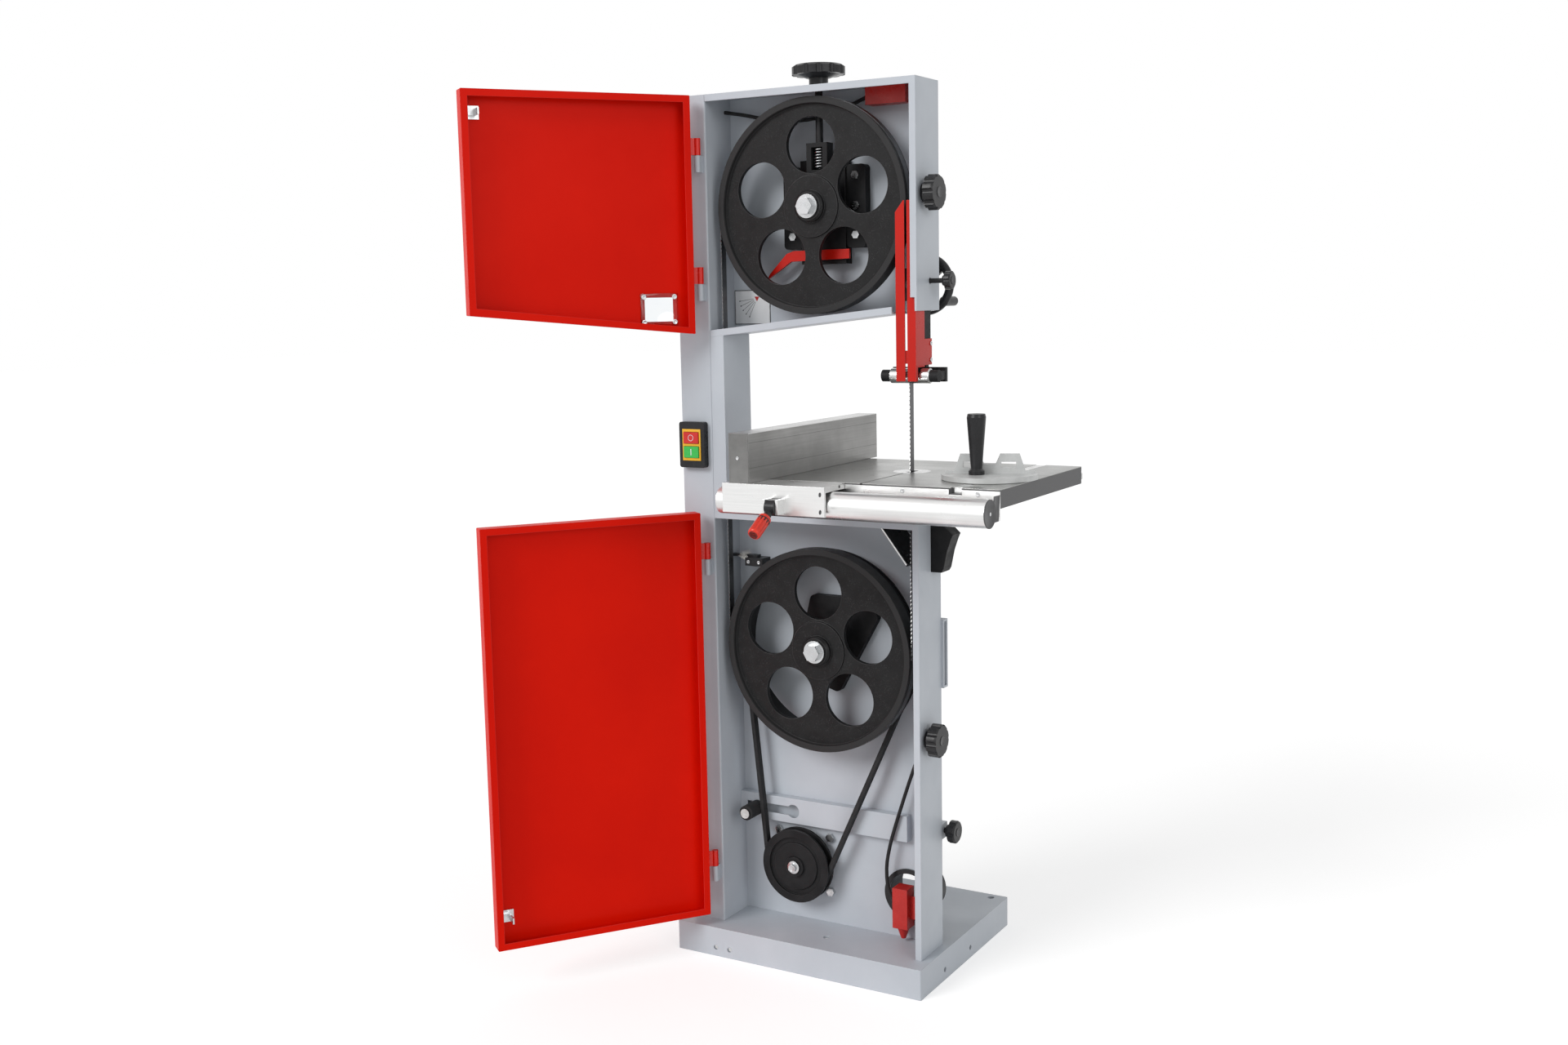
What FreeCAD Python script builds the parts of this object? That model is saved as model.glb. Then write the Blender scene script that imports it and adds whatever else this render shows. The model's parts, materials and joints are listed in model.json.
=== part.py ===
import FreeCAD, Part
import math
import os
import re
import Sketcher

# Upright two-wheel band saw on a sheet-steel frame: both doors stand open and the table is level.
# Millimetres. X points right, Y points back, Z points up; the origin is the middle of the base's underside.

SIZES = {
    # base and frame
    "base_margin": 32.8, "base_deep": 425, "base_tall": 60, "base_wall": 5, "anchor_hole": 7,
    "anchor_inset": 31, "anchor_edge": 17.5, "anchor_front_x": 39, "anchor_front_y": -152,
    "front_y": -172, "panel_front": -80, "panel_thick": 4, "sheet_wall": 3, "lip": 13,
    "column_wide": 71.5, "column_gap": 17, "wheel_room": 26.7, "roof_room": 18, "deck_room": 63.5,
    "floor_drop": 41.2, "floor_lift": 4.5, "cover_room": 13,
    # wheels, blade and drive
    "wheel_x": 30, "wheel_radius": 200, "lower_wheel_z": 639.5, "upper_wheel_z": 1486,
    "wheel_y": -143.5, "rim_half": 15, "wheel_hole": 52, "wheel_hole_circle": 113,
    "axle_radius": 15, "running_gap": 0.05, "face_gap": 0.3, "hub_front": 21, "hub_back": 22,
    "blade_width": 16, "blade_thick": 0.8, "blade_y": -150,
    "belt_y": -112, "belt_width": 14, "belt_thick": 8, "sheave_step": 8, "pulley_radius": 71,
    "pulley_x": -46, "pulley_z": 183, "motor_bolts_x": 118, "motor_bolts_z": 114,
    "motor_radius": 75, "motor_long": 205, "motor_shaft": 12, "lever_reach": 95,
    "roller_radius": 15, "roller_x": -143.8, "roller_z": 287, "tension_travel": 20,
    "spindle_radius": 7, "spindle_y": -114, "port_radius": 50, "port_z": 150, "port_edge": 69.7,
    "brush_gap": 5.55, "brush_angle": 47.07,
    # doors
    "door_open": 126.3, "hinge_out": 10, "hinge_y": -186, "knuckle": 6.5, "door_start": 7.5,
    "door_deep": 28, "door_wall": 2, "door_gap": 0.2, "knob_radius": 32, "knob_deep": 30,
    "knob_y": -140, "lower_knob_z": 488,
    # blade guard, guides and their hand wheel
    "guard_front": -167, "guide_height": 176, "guide_radius": 14, "post_wide": 11,
    "rise_drop": 148, "rise_radius": 50, "rise_y": -40, "lock_y": -115,
    # table, fence and mitre gauge
    "table_reach": 218, "table_wide": 480, "table_front": -348, "table_deep": 390, "table_height": 93,
    "table_thick": 32, "table_plate": 16, "trunnion_radius": 85, "insert_radius": 35, "insert_y": -142,
    "insert_thick": 5, "slot_reach": 182, "slot_wide": 20, "slot_deep": 10, "slot_gap": 0.25,
    "trunnion_front": -165, "trunnion_back": -100, "trunnion_thick": 12,
    "rail_reach": 37, "rail_radius": 24.3, "rail_y": -395, "rail_drop": 35,
    "carrier_wide": 206, "fence_wide": 40, "fence_tall": 88, "fence_front": -425, "fence_long": 494,
    "mitre_y": -205, "mitre_radius": 85, "mitre_turn": 20,
    # switch
    "switch_edge": 2.5, "switch_wide": 58, "switch_low": 990, "switch_tall": 90, "switch_deep": 14,
    "button_wide": 34, "button_tall": 22, "button_gap": 0.6,
}

# Places that follow from the sizes above.
TIED = {
    "blade_x": "wheel_x + wheel_radius",
    "column_right": "wheel_x - wheel_radius - column_gap",
    "column_left": "column_right - column_wide",
    "body_right": "blade_x + wheel_room",
    "base_wide": "body_right - column_left + base_margin",
    "body_top": "upper_wheel_z + wheel_radius + roof_room",
    "roof_top": "lower_wheel_z + wheel_radius + deck_room",
    "floor_left": "upper_wheel_z - wheel_radius - floor_drop",
    "floor_right": "upper_wheel_z - wheel_radius + floor_lift",
    "cover_right": "wheel_x - wheel_radius + cover_room",
    "sheave_radius": "wheel_radius - sheave_step",
    "port_x": "body_right - port_edge",
    "hinge_x": "column_right - hinge_out",
    "door_left": "column_right + door_start",
    "door_wide": "body_right - door_gap - door_left",
    "lower_door_low": "base_tall + 24",
    "lower_door_high": "roof_top + 1",
    "upper_door_low": "floor_left + 7.2",
    "upper_door_rise": "floor_right - floor_left - 1.7",
    "upper_door_high": "body_top - 4",
    "upper_knob_z": "upper_wheel_z + 15",
    "table_top_z": "roof_top + table_height",
    "guide_z": "table_top_z + guide_height",
    "rise_x": "blade_x - 18",
    "rise_z": "upper_wheel_z - rise_drop",
    "lock_z": "rise_z + 6",
    "guard_low": "guide_z - 9",
    "guard_high": "rise_z + 150",
    "guard_left": "blade_x - 18",
    "guard_right": "blade_x + 22",
    "post_left": "blade_x + 8",
    "table_left": "blade_x - table_reach",
    "table_right": "table_left + table_wide",
    "slot_x": "blade_x + slot_reach",
    "rail_left": "table_left - rail_reach",
    "rail_z": "table_top_z - rail_drop",
    "carrier_left": "table_left - 17",
    "fence_left": "table_left - 2",
    "switch_left": "column_left + switch_edge",
}

UP = FreeCAD.Rotation()
TO_X = FreeCAD.Rotation(FreeCAD.Vector(0, 1, 0), 90)
TO_Y = FreeCAD.Rotation(FreeCAD.Vector(1, 0, 0), -90)
TURNS = {"X": TO_X, "Y": TO_Y, "Z": UP}

doc = FreeCAD.newDocument("BandSaw")
sheet = doc.addObject("Spreadsheet::Sheet", "Sizes")
for row, (alias, number) in enumerate(SIZES.items(), 1):
    sheet.set(f"A{row}", str(number))
    sheet.setAlias(f"A{row}", alias)
doc.recompute()
parts = []


def linked(text):
    """Write a size formula as an expression on the sheet."""
    def name(word):
        if word[0] in TIED:
            return f"({linked(TIED[word[0]])})"
        return f"Sizes.{word[0]}" if word[0] in SIZES else word[0]
    return re.sub(r"[a-z_]+", name, str(text))


def value(text):
    return float(sheet.evalExpression(linked(text)))


def bind(item, **formulas):
    for name, text in formulas.items():
        item.setExpression(name.replace("_", "."), linked(text))


def place(item, x, y, z, turn=UP):
    item.Placement = FreeCAD.Placement(FreeCAD.Vector(value(x), value(y), value(z)), turn)
    for axis, text in zip("xyz", (x, y, z)):
        item.setExpression(f"Placement.Base.{axis}", linked(text))
    return item


def box(x, y, z, wide, deep, tall):
    item = doc.addObject("Part::Box", "Block")
    bind(item, Length=wide, Width=deep, Height=tall)
    return place(item, x, y, z)


def rod(axis, x, y, z, radius, length):
    item = doc.addObject("Part::Cylinder", "Rod")
    bind(item, Radius=radius, Height=length)
    return place(item, x, y, z, TURNS[axis])


def taper(axis, x, y, z, radius, end_radius, length):
    item = doc.addObject("Part::Cone", "Taper")
    bind(item, Radius1=radius, Radius2=end_radius, Height=length)
    return place(item, x, y, z, TURNS[axis])


def hexagon(axis, x, y, z, radius, length):
    item = doc.addObject("Part::Prism", "Hex")
    item.Polygon = 6
    bind(item, Circumradius=radius, Height=length)
    return place(item, x, y, z, TURNS[axis])


def join(*items):
    if len(items) == 1:
        return items[0]
    item = doc.addObject("Part::MultiFuse", "Joined")
    item.Shapes = list(items)
    return item


def cut(base, *tools):
    item = doc.addObject("Part::Cut", "Cut")
    item.Base = base
    item.Tool = join(*tools)
    return item


def group(*items):
    item = doc.addObject("Part::Compound", "Group")
    item.Links = list(items)
    return item


def sketch_on(body, role):
    sketch = body.newObject("Sketcher::SketchObject", "Outline")
    plane = next(feature for feature in body.Origin.OriginFeatures if feature.Role == role)
    sketch.AttachmentSupport = [(plane, "")]
    sketch.MapMode = "FlatFace"
    return sketch


def pin_point(sketch, curve, spot, point):
    for kind, text in zip(("DistanceX", "DistanceY"), point):
        number = sketch.addConstraint(Sketcher.Constraint(kind, -1, 1, curve, spot, value(text)))
        sketch.setExpression(f"Constraints[{number}]", linked(text))


def polygon(sketch, points):
    corners = [FreeCAD.Vector(value(a), value(b), 0) for a, b in points]
    first = sketch.GeometryCount
    for index, corner in enumerate(corners):
        sketch.addGeometry(Part.LineSegment(corner, corners[(index + 1) % len(corners)]), False)
    for index in range(len(corners)):
        follower = first + (index + 1) % len(corners)
        sketch.addConstraint(Sketcher.Constraint("Coincident", first + index, 2, follower, 1))
    for index, point in enumerate(points):
        pin_point(sketch, first + index, 1, point)


def circle(sketch, a, b, radius):
    centre = FreeCAD.Vector(value(a), value(b), 0)
    number = sketch.addGeometry(Part.Circle(centre, FreeCAD.Vector(0, 0, 1), value(radius)), False)
    pin_point(sketch, number, 3, (a, b))
    size = sketch.addConstraint(Sketcher.Constraint("Radius", number, value(radius)))
    sketch.setExpression(f"Constraints[{size}]", linked(radius))


def outline(role, points, depth, x=0, y=0, z=0, holes=(), round_by=None):
    """Pad a polygon. XZ pads towards -Y, YZ towards +X and XY towards +Z from the given place."""
    body = doc.addObject("PartDesign::Body", "Plate")
    sketch = sketch_on(body, f"{role}_Plane")
    polygon(sketch, points)
    for a, b, radius in holes:
        circle(sketch, a, b, radius)
    pad = body.newObject("PartDesign::Pad", "Pad")
    pad.Profile = sketch
    bind(pad, Length=depth)
    doc.recompute()
    if round_by:
        soften(body, pad, {"XZ": 1, "YZ": 0, "XY": 2}[role], round_by)
    return place(body, x, y, z)


def soften(body, feature, axis, radius):
    """Round the corners that run along one axis."""
    names = []
    for number, edge in enumerate(feature.Shape.Edges, 1):
        run = edge.Vertexes[-1].Point - edge.Vertexes[0].Point
        if len(edge.Vertexes) == 2 and abs(abs(run[axis]) - run.Length) < 1e-6:
            names.append(f"Edge{number}")
    fillet = body.newObject("PartDesign::Fillet", "Soft")
    fillet.Base = (feature, names)
    bind(fillet, Radius=radius)


def turned(axis, x, y, z, profile):
    """Revolve a closed profile of (radius, distance along the axis)."""
    body = doc.addObject("PartDesign::Body", "Turned")
    sketch = sketch_on(body, "XZ_Plane")
    polygon(sketch, profile)
    spin = body.newObject("PartDesign::Revolution", "Spin")
    spin.Profile = sketch
    spin.ReferenceAxis = (sketch, ["V_Axis"])
    spin.Angle = 360
    doc.recompute()
    return place(body, x, y, z, TURNS[axis])


def ring_of_holes(body, across, radius, count):
    """Cut a ring of round holes along the turned body's own axis."""
    sketch = sketch_on(body, "XY_Plane")
    circle(sketch, "0", across, radius)
    pocket = body.newObject("PartDesign::Pocket", "Holes")
    pocket.Profile = sketch
    pocket.Type = 1
    pocket.Midplane = True
    doc.recompute()
    ring = body.newObject("PartDesign::PolarPattern", "Ring")
    ring.Originals = [pocket]
    ring.Axis = (sketch, ["N_Axis"])
    ring.Angle = 360
    ring.Occurrences = count
    body.Tip = ring
    return body


def part(name, item):
    item.Label = name
    parts.append(item)
    return item


# ---- base and frame

def base_plinth():
    shell = outline("XY", [("-base_wide / 2", "-base_deep / 2"), ("base_wide / 2", "-base_deep / 2"),
                           ("base_wide / 2", "base_deep / 2"), ("-base_wide / 2", "base_deep / 2")],
                    "base_tall", round_by=3)
    hollow = box("base_wall - base_wide / 2", "base_wall - base_deep / 2", "-1",
                 "base_wide - 2 * base_wall", "base_deep - 2 * base_wall", "base_tall - base_wall + 1")
    rear = "base_deep / 2 - anchor_edge"
    anchors = [rod("Z", x, y, "0", "anchor_hole", "base_tall + 5")
               for x, y in (("anchor_inset - base_wide / 2", rear), ("base_wide / 2 - anchor_inset", rear),
                            ("anchor_front_x", "anchor_front_y"))]
    front = [rod("Y", x, "-base_deep / 2 - 5", "18", "5", "base_wall + 10") for x in ("-184", "-152")]
    side = [rod("X", "base_wide / 2 - base_wall - 5", y, "21", "5", "base_wall + 10") for y in ("-103", "18")]
    part("base_plinth", cut(shell, hollow, *anchors, *front, *side))


def column():
    post = outline("XY", [("column_left", "front_y"), ("column_right", "front_y"),
                          ("column_right", "panel_front + panel_thick"),
                          ("column_left", "panel_front + panel_thick")],
                   "body_top - base_tall", z="base_tall", round_by=3)
    hollow = box("column_left + sheet_wall", "front_y + sheet_wall", "base_tall - 1",
                 "column_right - column_left - 2 * sheet_wall",
                 "panel_front + panel_thick - front_y - 2 * sheet_wall",
                 "body_top - base_tall - sheet_wall + 1")
    part("column", cut(post, hollow))


def floor_line(x, lift=0):
    """Height of the upper housing's sloping floor at x."""
    slope = "(floor_right - floor_left) / (body_right - column_right)"
    return f"floor_left + {slope} * ({x} - column_right) + {lift}"


def blade_cover():
    sides = [("column_right", "roof_top"), ("cover_right", "roof_top"),
             ("cover_right", floor_line("cover_right")), ("column_right", "floor_left")]
    inner = [("column_right - 5", "roof_top - 5"), ("cover_right - sheet_wall", "roof_top - 5"),
             ("cover_right - sheet_wall", "floor_right"), ("column_right - 5", "floor_right")]
    deep = "panel_front + panel_thick - front_y"
    part("blade_cover", cut(outline("XZ", sides, deep, y="panel_front + panel_thick"),
                            outline("XZ", inner, f"{deep} - 2 * sheet_wall",
                                    y="panel_front + panel_thick - sheet_wall")))


def blade_slot(x, low, tall, wide="12"):
    return box(f"{x} - {wide} / 2", "blade_y - 10", low, wide, "blade_width + 22", tall)


def frame_band(outer, inner, opening):
    """A bent sheet band with a return lip on its front edge."""
    back = "panel_front + panel_thick"
    whole = outline("XZ", outer, f"{back} - front_y", y=back)
    room = outline("XZ", inner, f"{back} - front_y - sheet_wall + 2", y=f"{back} + 2")
    mouth = outline("XZ", opening, "sheet_wall + 4", y="front_y + sheet_wall + 2")
    return whole, room, mouth


def upper_shell():
    left = "column_right - 4"
    outer = [("column_right", "floor_left"), ("body_right", "floor_right"),
             ("body_right", "body_top"), ("column_right", "body_top")]
    inner = [(left, floor_line(left, "sheet_wall")), ("body_right - sheet_wall", "floor_right + sheet_wall"),
             ("body_right - sheet_wall", "body_top - sheet_wall"), (left, "body_top - sheet_wall")]
    mouth = [(left, floor_line(left, "lip")), ("body_right - lip", floor_line("body_right - lip", "lip")),
             ("body_right - lip", "body_top - lip"), (left, "body_top - lip")]
    guard_way = box("guard_left - 6", "front_y - 2", "floor_left",
                    "guard_right + 1.3 - guard_left + 5", "80", "70")
    lock = rod("X", "body_right - 10", "lock_y", "lock_z", "5.5", "20")
    knob = rod("X", "body_right - 10", "knob_y", "upper_knob_z", "5.5", "20")
    screw = rod("Z", "wheel_x", "spindle_y", "body_top - 20", "spindle_radius + face_gap", "40")
    left_slot = blade_slot("wheel_x - wheel_radius", "floor_left - 10", "40")
    part("upper_shell", cut(*frame_band(outer, inner, mouth), guard_way, lock, knob, screw, left_slot))


def upper_back_panel():
    edge = "body_right - sheet_wall"
    points = [("column_right", "floor_left + sheet_wall + 0.4"),
              (edge, floor_line(edge, "sheet_wall + 0.4")),
              (edge, "body_top - sheet_wall"), ("column_right", "body_top - sheet_wall")]
    holes = [("rise_x", "rise_z", "8.3")]
    part("upper_back_panel", outline("XZ", points, "panel_thick", y="panel_front + panel_thick", holes=holes))


def lower_shell():
    left = "column_right - 4"
    outer = [("column_right", "base_tall"), ("body_right", "base_tall"),
             ("body_right", "roof_top"), ("column_right", "roof_top")]
    inner = [(left, "base_tall - 5"), ("body_right - sheet_wall", "base_tall - 5"),
             ("body_right - sheet_wall", "roof_top - sheet_wall"), (left, "roof_top - sheet_wall")]
    mouth = [(left, "base_tall - 5"), ("body_right - lip", "base_tall - 5"),
             ("body_right - lip", "roof_top - lip"), (left, "roof_top - lip")]
    knob = rod("X", "body_right - 10", "knob_y", "lower_knob_z", "5.5", "20")
    slots = [blade_slot("wheel_x + wheel_radius", "roof_top - 20", "40"),
             blade_slot("wheel_x - wheel_radius", "roof_top - 20", "40")]
    part("lower_shell", cut(*frame_band(outer, inner, mouth), knob, *slots))


def lower_back_panel():
    edge = "body_right - sheet_wall"
    points = [("column_right", "base_tall"), (edge, "base_tall"),
              (edge, "roof_top - sheet_wall"), ("column_right", "roof_top - sheet_wall")]
    sheet_body = outline("XZ", points, "panel_thick", y="panel_front + panel_thick",
                         holes=[("pulley_x", "pulley_z", "motor_shaft + 6"),
                                ("port_x", "port_z", "port_radius - 6"),
                                ("wheel_x", "lower_wheel_z", "axle_radius + face_gap")])
    slot = box("roller_x - tension_travel - 8", "panel_front - 1", "roller_z - 6.5",
               "tension_travel + 16", "panel_thick + 2", "13")
    part("lower_back_panel", cut(sheet_body, slot))


def brace_channel():
    end, low, high = "body_right - 64.7", "roller_z - 25", "roller_z + 27"
    brace = outline("XZ", [("column_right", low), (end, low), (end, high), ("column_right", high)],
                    "18", y="panel_front")
    hollow = box("column_right - 5", "panel_front - 15", "roller_z - 22", f"{end} - column_right - 3",
                 "16", "46")
    slot = box("roller_x - tension_travel - 8", "panel_front - 30", "roller_z - 9",
               "tension_travel + 88", "32", "18")
    window = rod("Y", "roller_x + 80", "panel_front - 30", "roller_z", "14", "32")
    tab = cut(box("body_right - 12", "panel_front + panel_thick", "roller_z - 15", "12", "24", "30"),
              rod("X", "body_right - 20", "panel_front + panel_thick + 12", "roller_z", "5.3", "30"))
    part("brace_channel", group(cut(brace, hollow, slot, window), tab))


def axle_carrier():
    outer = box("column_right", "panel_front + panel_thick", "lower_wheel_z - 66.5",
                "body_right + 5 - column_right", "19", "133")
    inner = box("column_right - 1", "panel_front + panel_thick + 4", "lower_wheel_z - 62.5",
                "body_right + 7 - column_right", "11", "125")
    bore = rod("Y", "wheel_x", "panel_front", "lower_wheel_z", "axle_radius + face_gap", "30")
    part("axle_carrier", cut(outer, inner, bore))


# ---- wheels, blade and drive

def wheel(name, centre_z):
    bore = "axle_radius + running_gap"
    rim = "wheel_radius - face_gap"
    profile = [(bore, "-hub_front"), ("26", "-hub_front"), ("30", "4 - hub_front"), ("30", "-10"),
               ("57", "-10"), ("58.5", "-6"), ("rim_inner", "-6"), ("rim_inner + 2", "-rim_half"),
               (rim, "-rim_half"), (rim, "rim_half"), ("rim_inner + 2", "rim_half"),
               ("rim_inner", "4"), ("50", "4"), ("34", "9"), ("30", "hub_back"), (bore, "hub_back")]
    profile = [(radius.replace("rim_inner", "(wheel_radius - 14)"), along) for radius, along in profile]
    body = turned("Y", "wheel_x", "wheel_y", centre_z, profile)
    part(name, ring_of_holes(body, "-wheel_hole_circle", "wheel_hole", 5))


def drive_sheave():
    groove = "sheave_radius - belt_thick - face_gap"
    front, back = "-belt_width / 2 - face_gap", "belt_width / 2 + face_gap"
    edge = "sheave_radius + 2"
    profile = [("sheave_radius - 20", "wheel_y + rim_half - belt_y"), (edge, "wheel_y + rim_half - belt_y"),
               (edge, front), (groove, front), (groove, back), (edge, back), (edge, f"{back} + 4"),
               ("sheave_radius - 20", f"{back} + 4")]
    part("drive_sheave", turned("Y", "wheel_x", "belt_y", "lower_wheel_z", profile))


def loop(name, low, low_radius, high, high_radius, thick, front, width):
    """A flat closed loop lying around two circles in one XZ plane."""
    def tangent_face(grow):
        (ax, az), (bx, bz) = low, high
        small, large = low_radius + grow, high_radius + grow
        reach = math.hypot(bx - ax, bz - az)
        heading = math.atan2(bz - az, bx - ax)
        lean = math.acos((small - large) / reach)

        def spot(centre, radius, angle):
            return FreeCAD.Vector(centre[0] + radius * math.cos(angle), front,
                                  centre[1] + radius * math.sin(angle))
        right, left = heading - lean, heading + lean
        edges = [Part.LineSegment(spot(low, small, right), spot(high, large, right)).toShape(),
                 Part.Arc(spot(high, large, right), spot(high, large, heading),
                          spot(high, large, left)).toShape(),
                 Part.LineSegment(spot(high, large, left), spot(low, small, left)).toShape(),
                 Part.Arc(spot(low, small, left), spot(low, small, heading + math.pi),
                          spot(low, small, right)).toShape()]
        return Part.Face(Part.Wire(edges))
    item = doc.addObject("Part::Feature", "Loop")
    depth = FreeCAD.Vector(0, width, 0)
    item.Shape = tangent_face(thick).extrude(depth).cut(tangent_face(0).extrude(depth))
    part(name, item)


def belts():
    wheel_x = value("wheel_x")
    lower = (wheel_x, value("lower_wheel_z"))
    loop("saw_blade", lower, value("wheel_radius"), (wheel_x, value("upper_wheel_z")),
         value("wheel_radius"), value("blade_thick"), value("blade_y"), value("blade_width"))
    loop("drive_belt", (value("pulley_x"), value("pulley_z")), value("pulley_radius - belt_thick"), lower,
         value("sheave_radius - belt_thick"), value("belt_thick"),
         value("belt_y - belt_width / 2"), value("belt_width"))


def motor_pulley():
    groove = "pulley_radius - belt_thick - face_gap"
    front, back = "-belt_width / 2 - face_gap", "belt_width / 2 + face_gap"
    edge = "pulley_radius + 4"
    profile = [("0", "-19"), ("9", "-19"), ("9", "-17"), ("20", "-17"), ("22", "-11"), ("48", "-11"),
               ("50", "-7"), ("60", "-7"), ("60", f"{front} - 5"), (edge, f"{front} - 5"), (edge, front),
               (groove, front), (groove, back), (edge, back), (edge, f"{back} + 5"),
               ("22", f"{back} + 5"), ("motor_shaft", "16"), ("motor_shaft", "42"), ("0", "42")]
    part("motor_pulley", turned("Y", "pulley_x", "belt_y", "pulley_z", profile))


def motor():
    back = "panel_front + panel_thick"
    flange = cut(box("pulley_x - 72", back, "pulley_z - 72", "144", "12", "144"),
                 rod("Y", "pulley_x", f"{back} - 1", "pulley_z", "motor_shaft + face_gap", "9"))
    can = rod("Y", "pulley_x", f"{back} + 12", "pulley_z", "motor_radius - 6", "motor_long - 50")
    cowl = rod("Y", "pulley_x", f"{back} + motor_long - 50", "pulley_z", "motor_radius", "50")
    box_top = box("pulley_x - 40", f"{back} + 40", "pulley_z + motor_radius - 20", "80", "90", "50")
    part("motor", join(flange, can, cowl, box_top))


def panel_bolts():
    motor_heads = [hexagon("Y", f"pulley_x + {a} * motor_bolts_x / 2", "panel_front - 8",
                           f"pulley_z + {b} * motor_bolts_z / 2", "9", "8")
                   for a in (-1, 1) for b in (-1, 1)]
    guide_heads = [hexagon("Y", f"wheel_x + {side} * 68", "panel_front - 24.7", z, "8", "4.7")
                   for side in (-1, 1)
                   for z in ("upper_wheel_z + 57", "upper_wheel_z + 1", "upper_wheel_z - 53")]
    part("panel_bolts", group(*motor_heads, *guide_heads))


def lower_axle_bracket():
    corners = ((-45, 98.5), (90, 98.5), (102, 60.5), (40, -49.5), (15, -94.5), (-30, -79.5), (-70, 0.5))
    casting = outline("XZ", [(f"wheel_x + {a}", f"lower_wheel_z + {b}") for a, b in corners],
                      "16", y="panel_front", round_by=12,
                      holes=[("wheel_x", "lower_wheel_z", "axle_radius + face_gap")])
    boss = cut(rod("Y", "wheel_x", "wheel_y + hub_back + face_gap", "lower_wheel_z", "28",
                   "panel_front - 15 - wheel_y - hub_back"),
               rod("Y", "wheel_x", "wheel_y", "lower_wheel_z", "axle_radius + face_gap", "100"))
    part("lower_axle_bracket", join(casting, boss))


def axle(name, height, back):
    """Shaft with a washer and a hexagon nut clamping the wheel's hub loosely."""
    face = "wheel_y - hub_front - face_gap"
    shaft = rod("Y", "wheel_x", f"{face} - 2", height, "axle_radius - 4", "6")
    body = rod("Y", "wheel_x", face, height, "axle_radius", f"{back} - wheel_y + hub_front + face_gap")
    washer = rod("Y", "wheel_x", f"{face} - 4", height, "22", "4")
    nut = hexagon("Y", "wheel_x", f"{face} - 16", height, "17", "12")
    return part(name, join(shaft, body, washer, nut))


def wheel_carriage():
    front = "wheel_y + hub_back + face_gap"
    low, high = "upper_wheel_z - 77", "upper_wheel_z + 77"
    rails = [outline("XZ", [(f"wheel_x + {a}", low), (f"wheel_x + {b}", low),
                            (f"wheel_x + {b}", high), (f"wheel_x + {a}", high)],
                     "20", y="panel_front", round_by=8) for a, b in (("48", "88"), ("-88", "-48"))]
    part("carriage_guides", group(*rails))
    plate = box("wheel_x - 48 + face_gap", "panel_front - 24", "upper_wheel_z - 106",
                "96 - 2 * face_gap", "24 - face_gap", "194")
    boss = rod("Y", "wheel_x", front, "upper_wheel_z", "28", f"panel_front - 20 - ({front})")
    spring_box = cut(box("wheel_x - 22", "spindle_y - 12", "upper_wheel_z + 60", "44", "24", "58"),
                     box("wheel_x - 12", "spindle_y - 13", "upper_wheel_z + 68", "24", "20", "42"))
    bore = rod("Y", "wheel_x", "wheel_y", "upper_wheel_z", "axle_radius", "80")
    seat = rod("Z", "wheel_x", "spindle_y", "upper_wheel_z + 104", "spindle_radius + face_gap", "20")
    pivot_x, pivot_z = "wheel_x - 20", "upper_wheel_z - 88"
    pin = rod("Y", pivot_x, "spindle_y + 1", pivot_z, "6", "panel_front - spindle_y - 25")
    cap = rod("Y", pivot_x, "spindle_y", pivot_z, "12", "2.5")
    part("wheel_carriage", group(cut(join(plate, boss, spring_box), bore, seat), join(pin, cap)))


def tension_handwheel():
    top = "body_top + 18"
    disc = turned("Z", "wheel_x", "spindle_y", top,
                  [("0", "0"), ("22", "0"), ("40", "6"), ("50", "6"), ("50", "20"), ("44", "24"),
                   ("16", "24"), ("14", "28"), ("0", "28")])
    flutes = [rod("Z", f"wheel_x + 53 * cos({30 * k})", f"spindle_y + 53 * sin({30 * k})", top, "7", "40")
              for k in range(12)]
    hub = rod("Z", "wheel_x", "spindle_y", "body_top + 0.5", "18", "20")
    spindle = rod("Z", "wheel_x", "spindle_y", "upper_wheel_z + 110 + face_gap", "spindle_radius",
                  "body_top - upper_wheel_z - 104")
    part("tension_handwheel", join(cut(disc, *flutes), hub, spindle))


def release_lever():
    z = "upper_wheel_z - 88"
    arm = outline("XZ", [(f"wheel_x - 20 - {a}", f"{z} + {b}") for a, b in
                         (("-78", "-9"), ("-78", "9"), ("42", "8"), ("58", "3"), ("lever_reach", "-34"),
                          ("lever_reach - 8", "-46"), ("48", "-12"))],
                  "6", y="spindle_y + 9", holes=[("wheel_x - 20", z, "6.05")])
    part("release_lever", arm)


def belt_tensioner():
    y = "belt_y - 38"
    part("tension_roller", turned("Y", "roller_x", y, "roller_z",
                                  [("6.05", "0"), ("roller_radius", "0"), ("roller_radius", "46"),
                                   ("6.05", "46")]))
    head = rod("Y", "roller_x", f"{y} - 5", "roller_z", "10", "4.7")
    axle_rod = rod("Y", "roller_x", f"{y} - 1", "roller_z", "6", f"panel_front + 12 - ({y})")
    block = box("roller_x - 14", "panel_front + panel_thick + 0.3", "roller_z - 12", "110", "20", "24")
    bore = rod("X", "roller_x + 60", "panel_front + panel_thick + 12", "roller_z", "5.1", "60")
    part("roller_carriage", join(head, axle_rod, cut(block, bore)))
    knob_start = "body_right + 6"
    handle = fluted_knob("X", knob_start, "panel_front + panel_thick + 12", "roller_z", "22", "22", 6)
    screw = rod("X", "roller_x + 66", "panel_front + panel_thick + 12", "roller_z", "5",
                f"{knob_start} - roller_x - 60")
    part("tensioner_knob", join(handle, screw))


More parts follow.
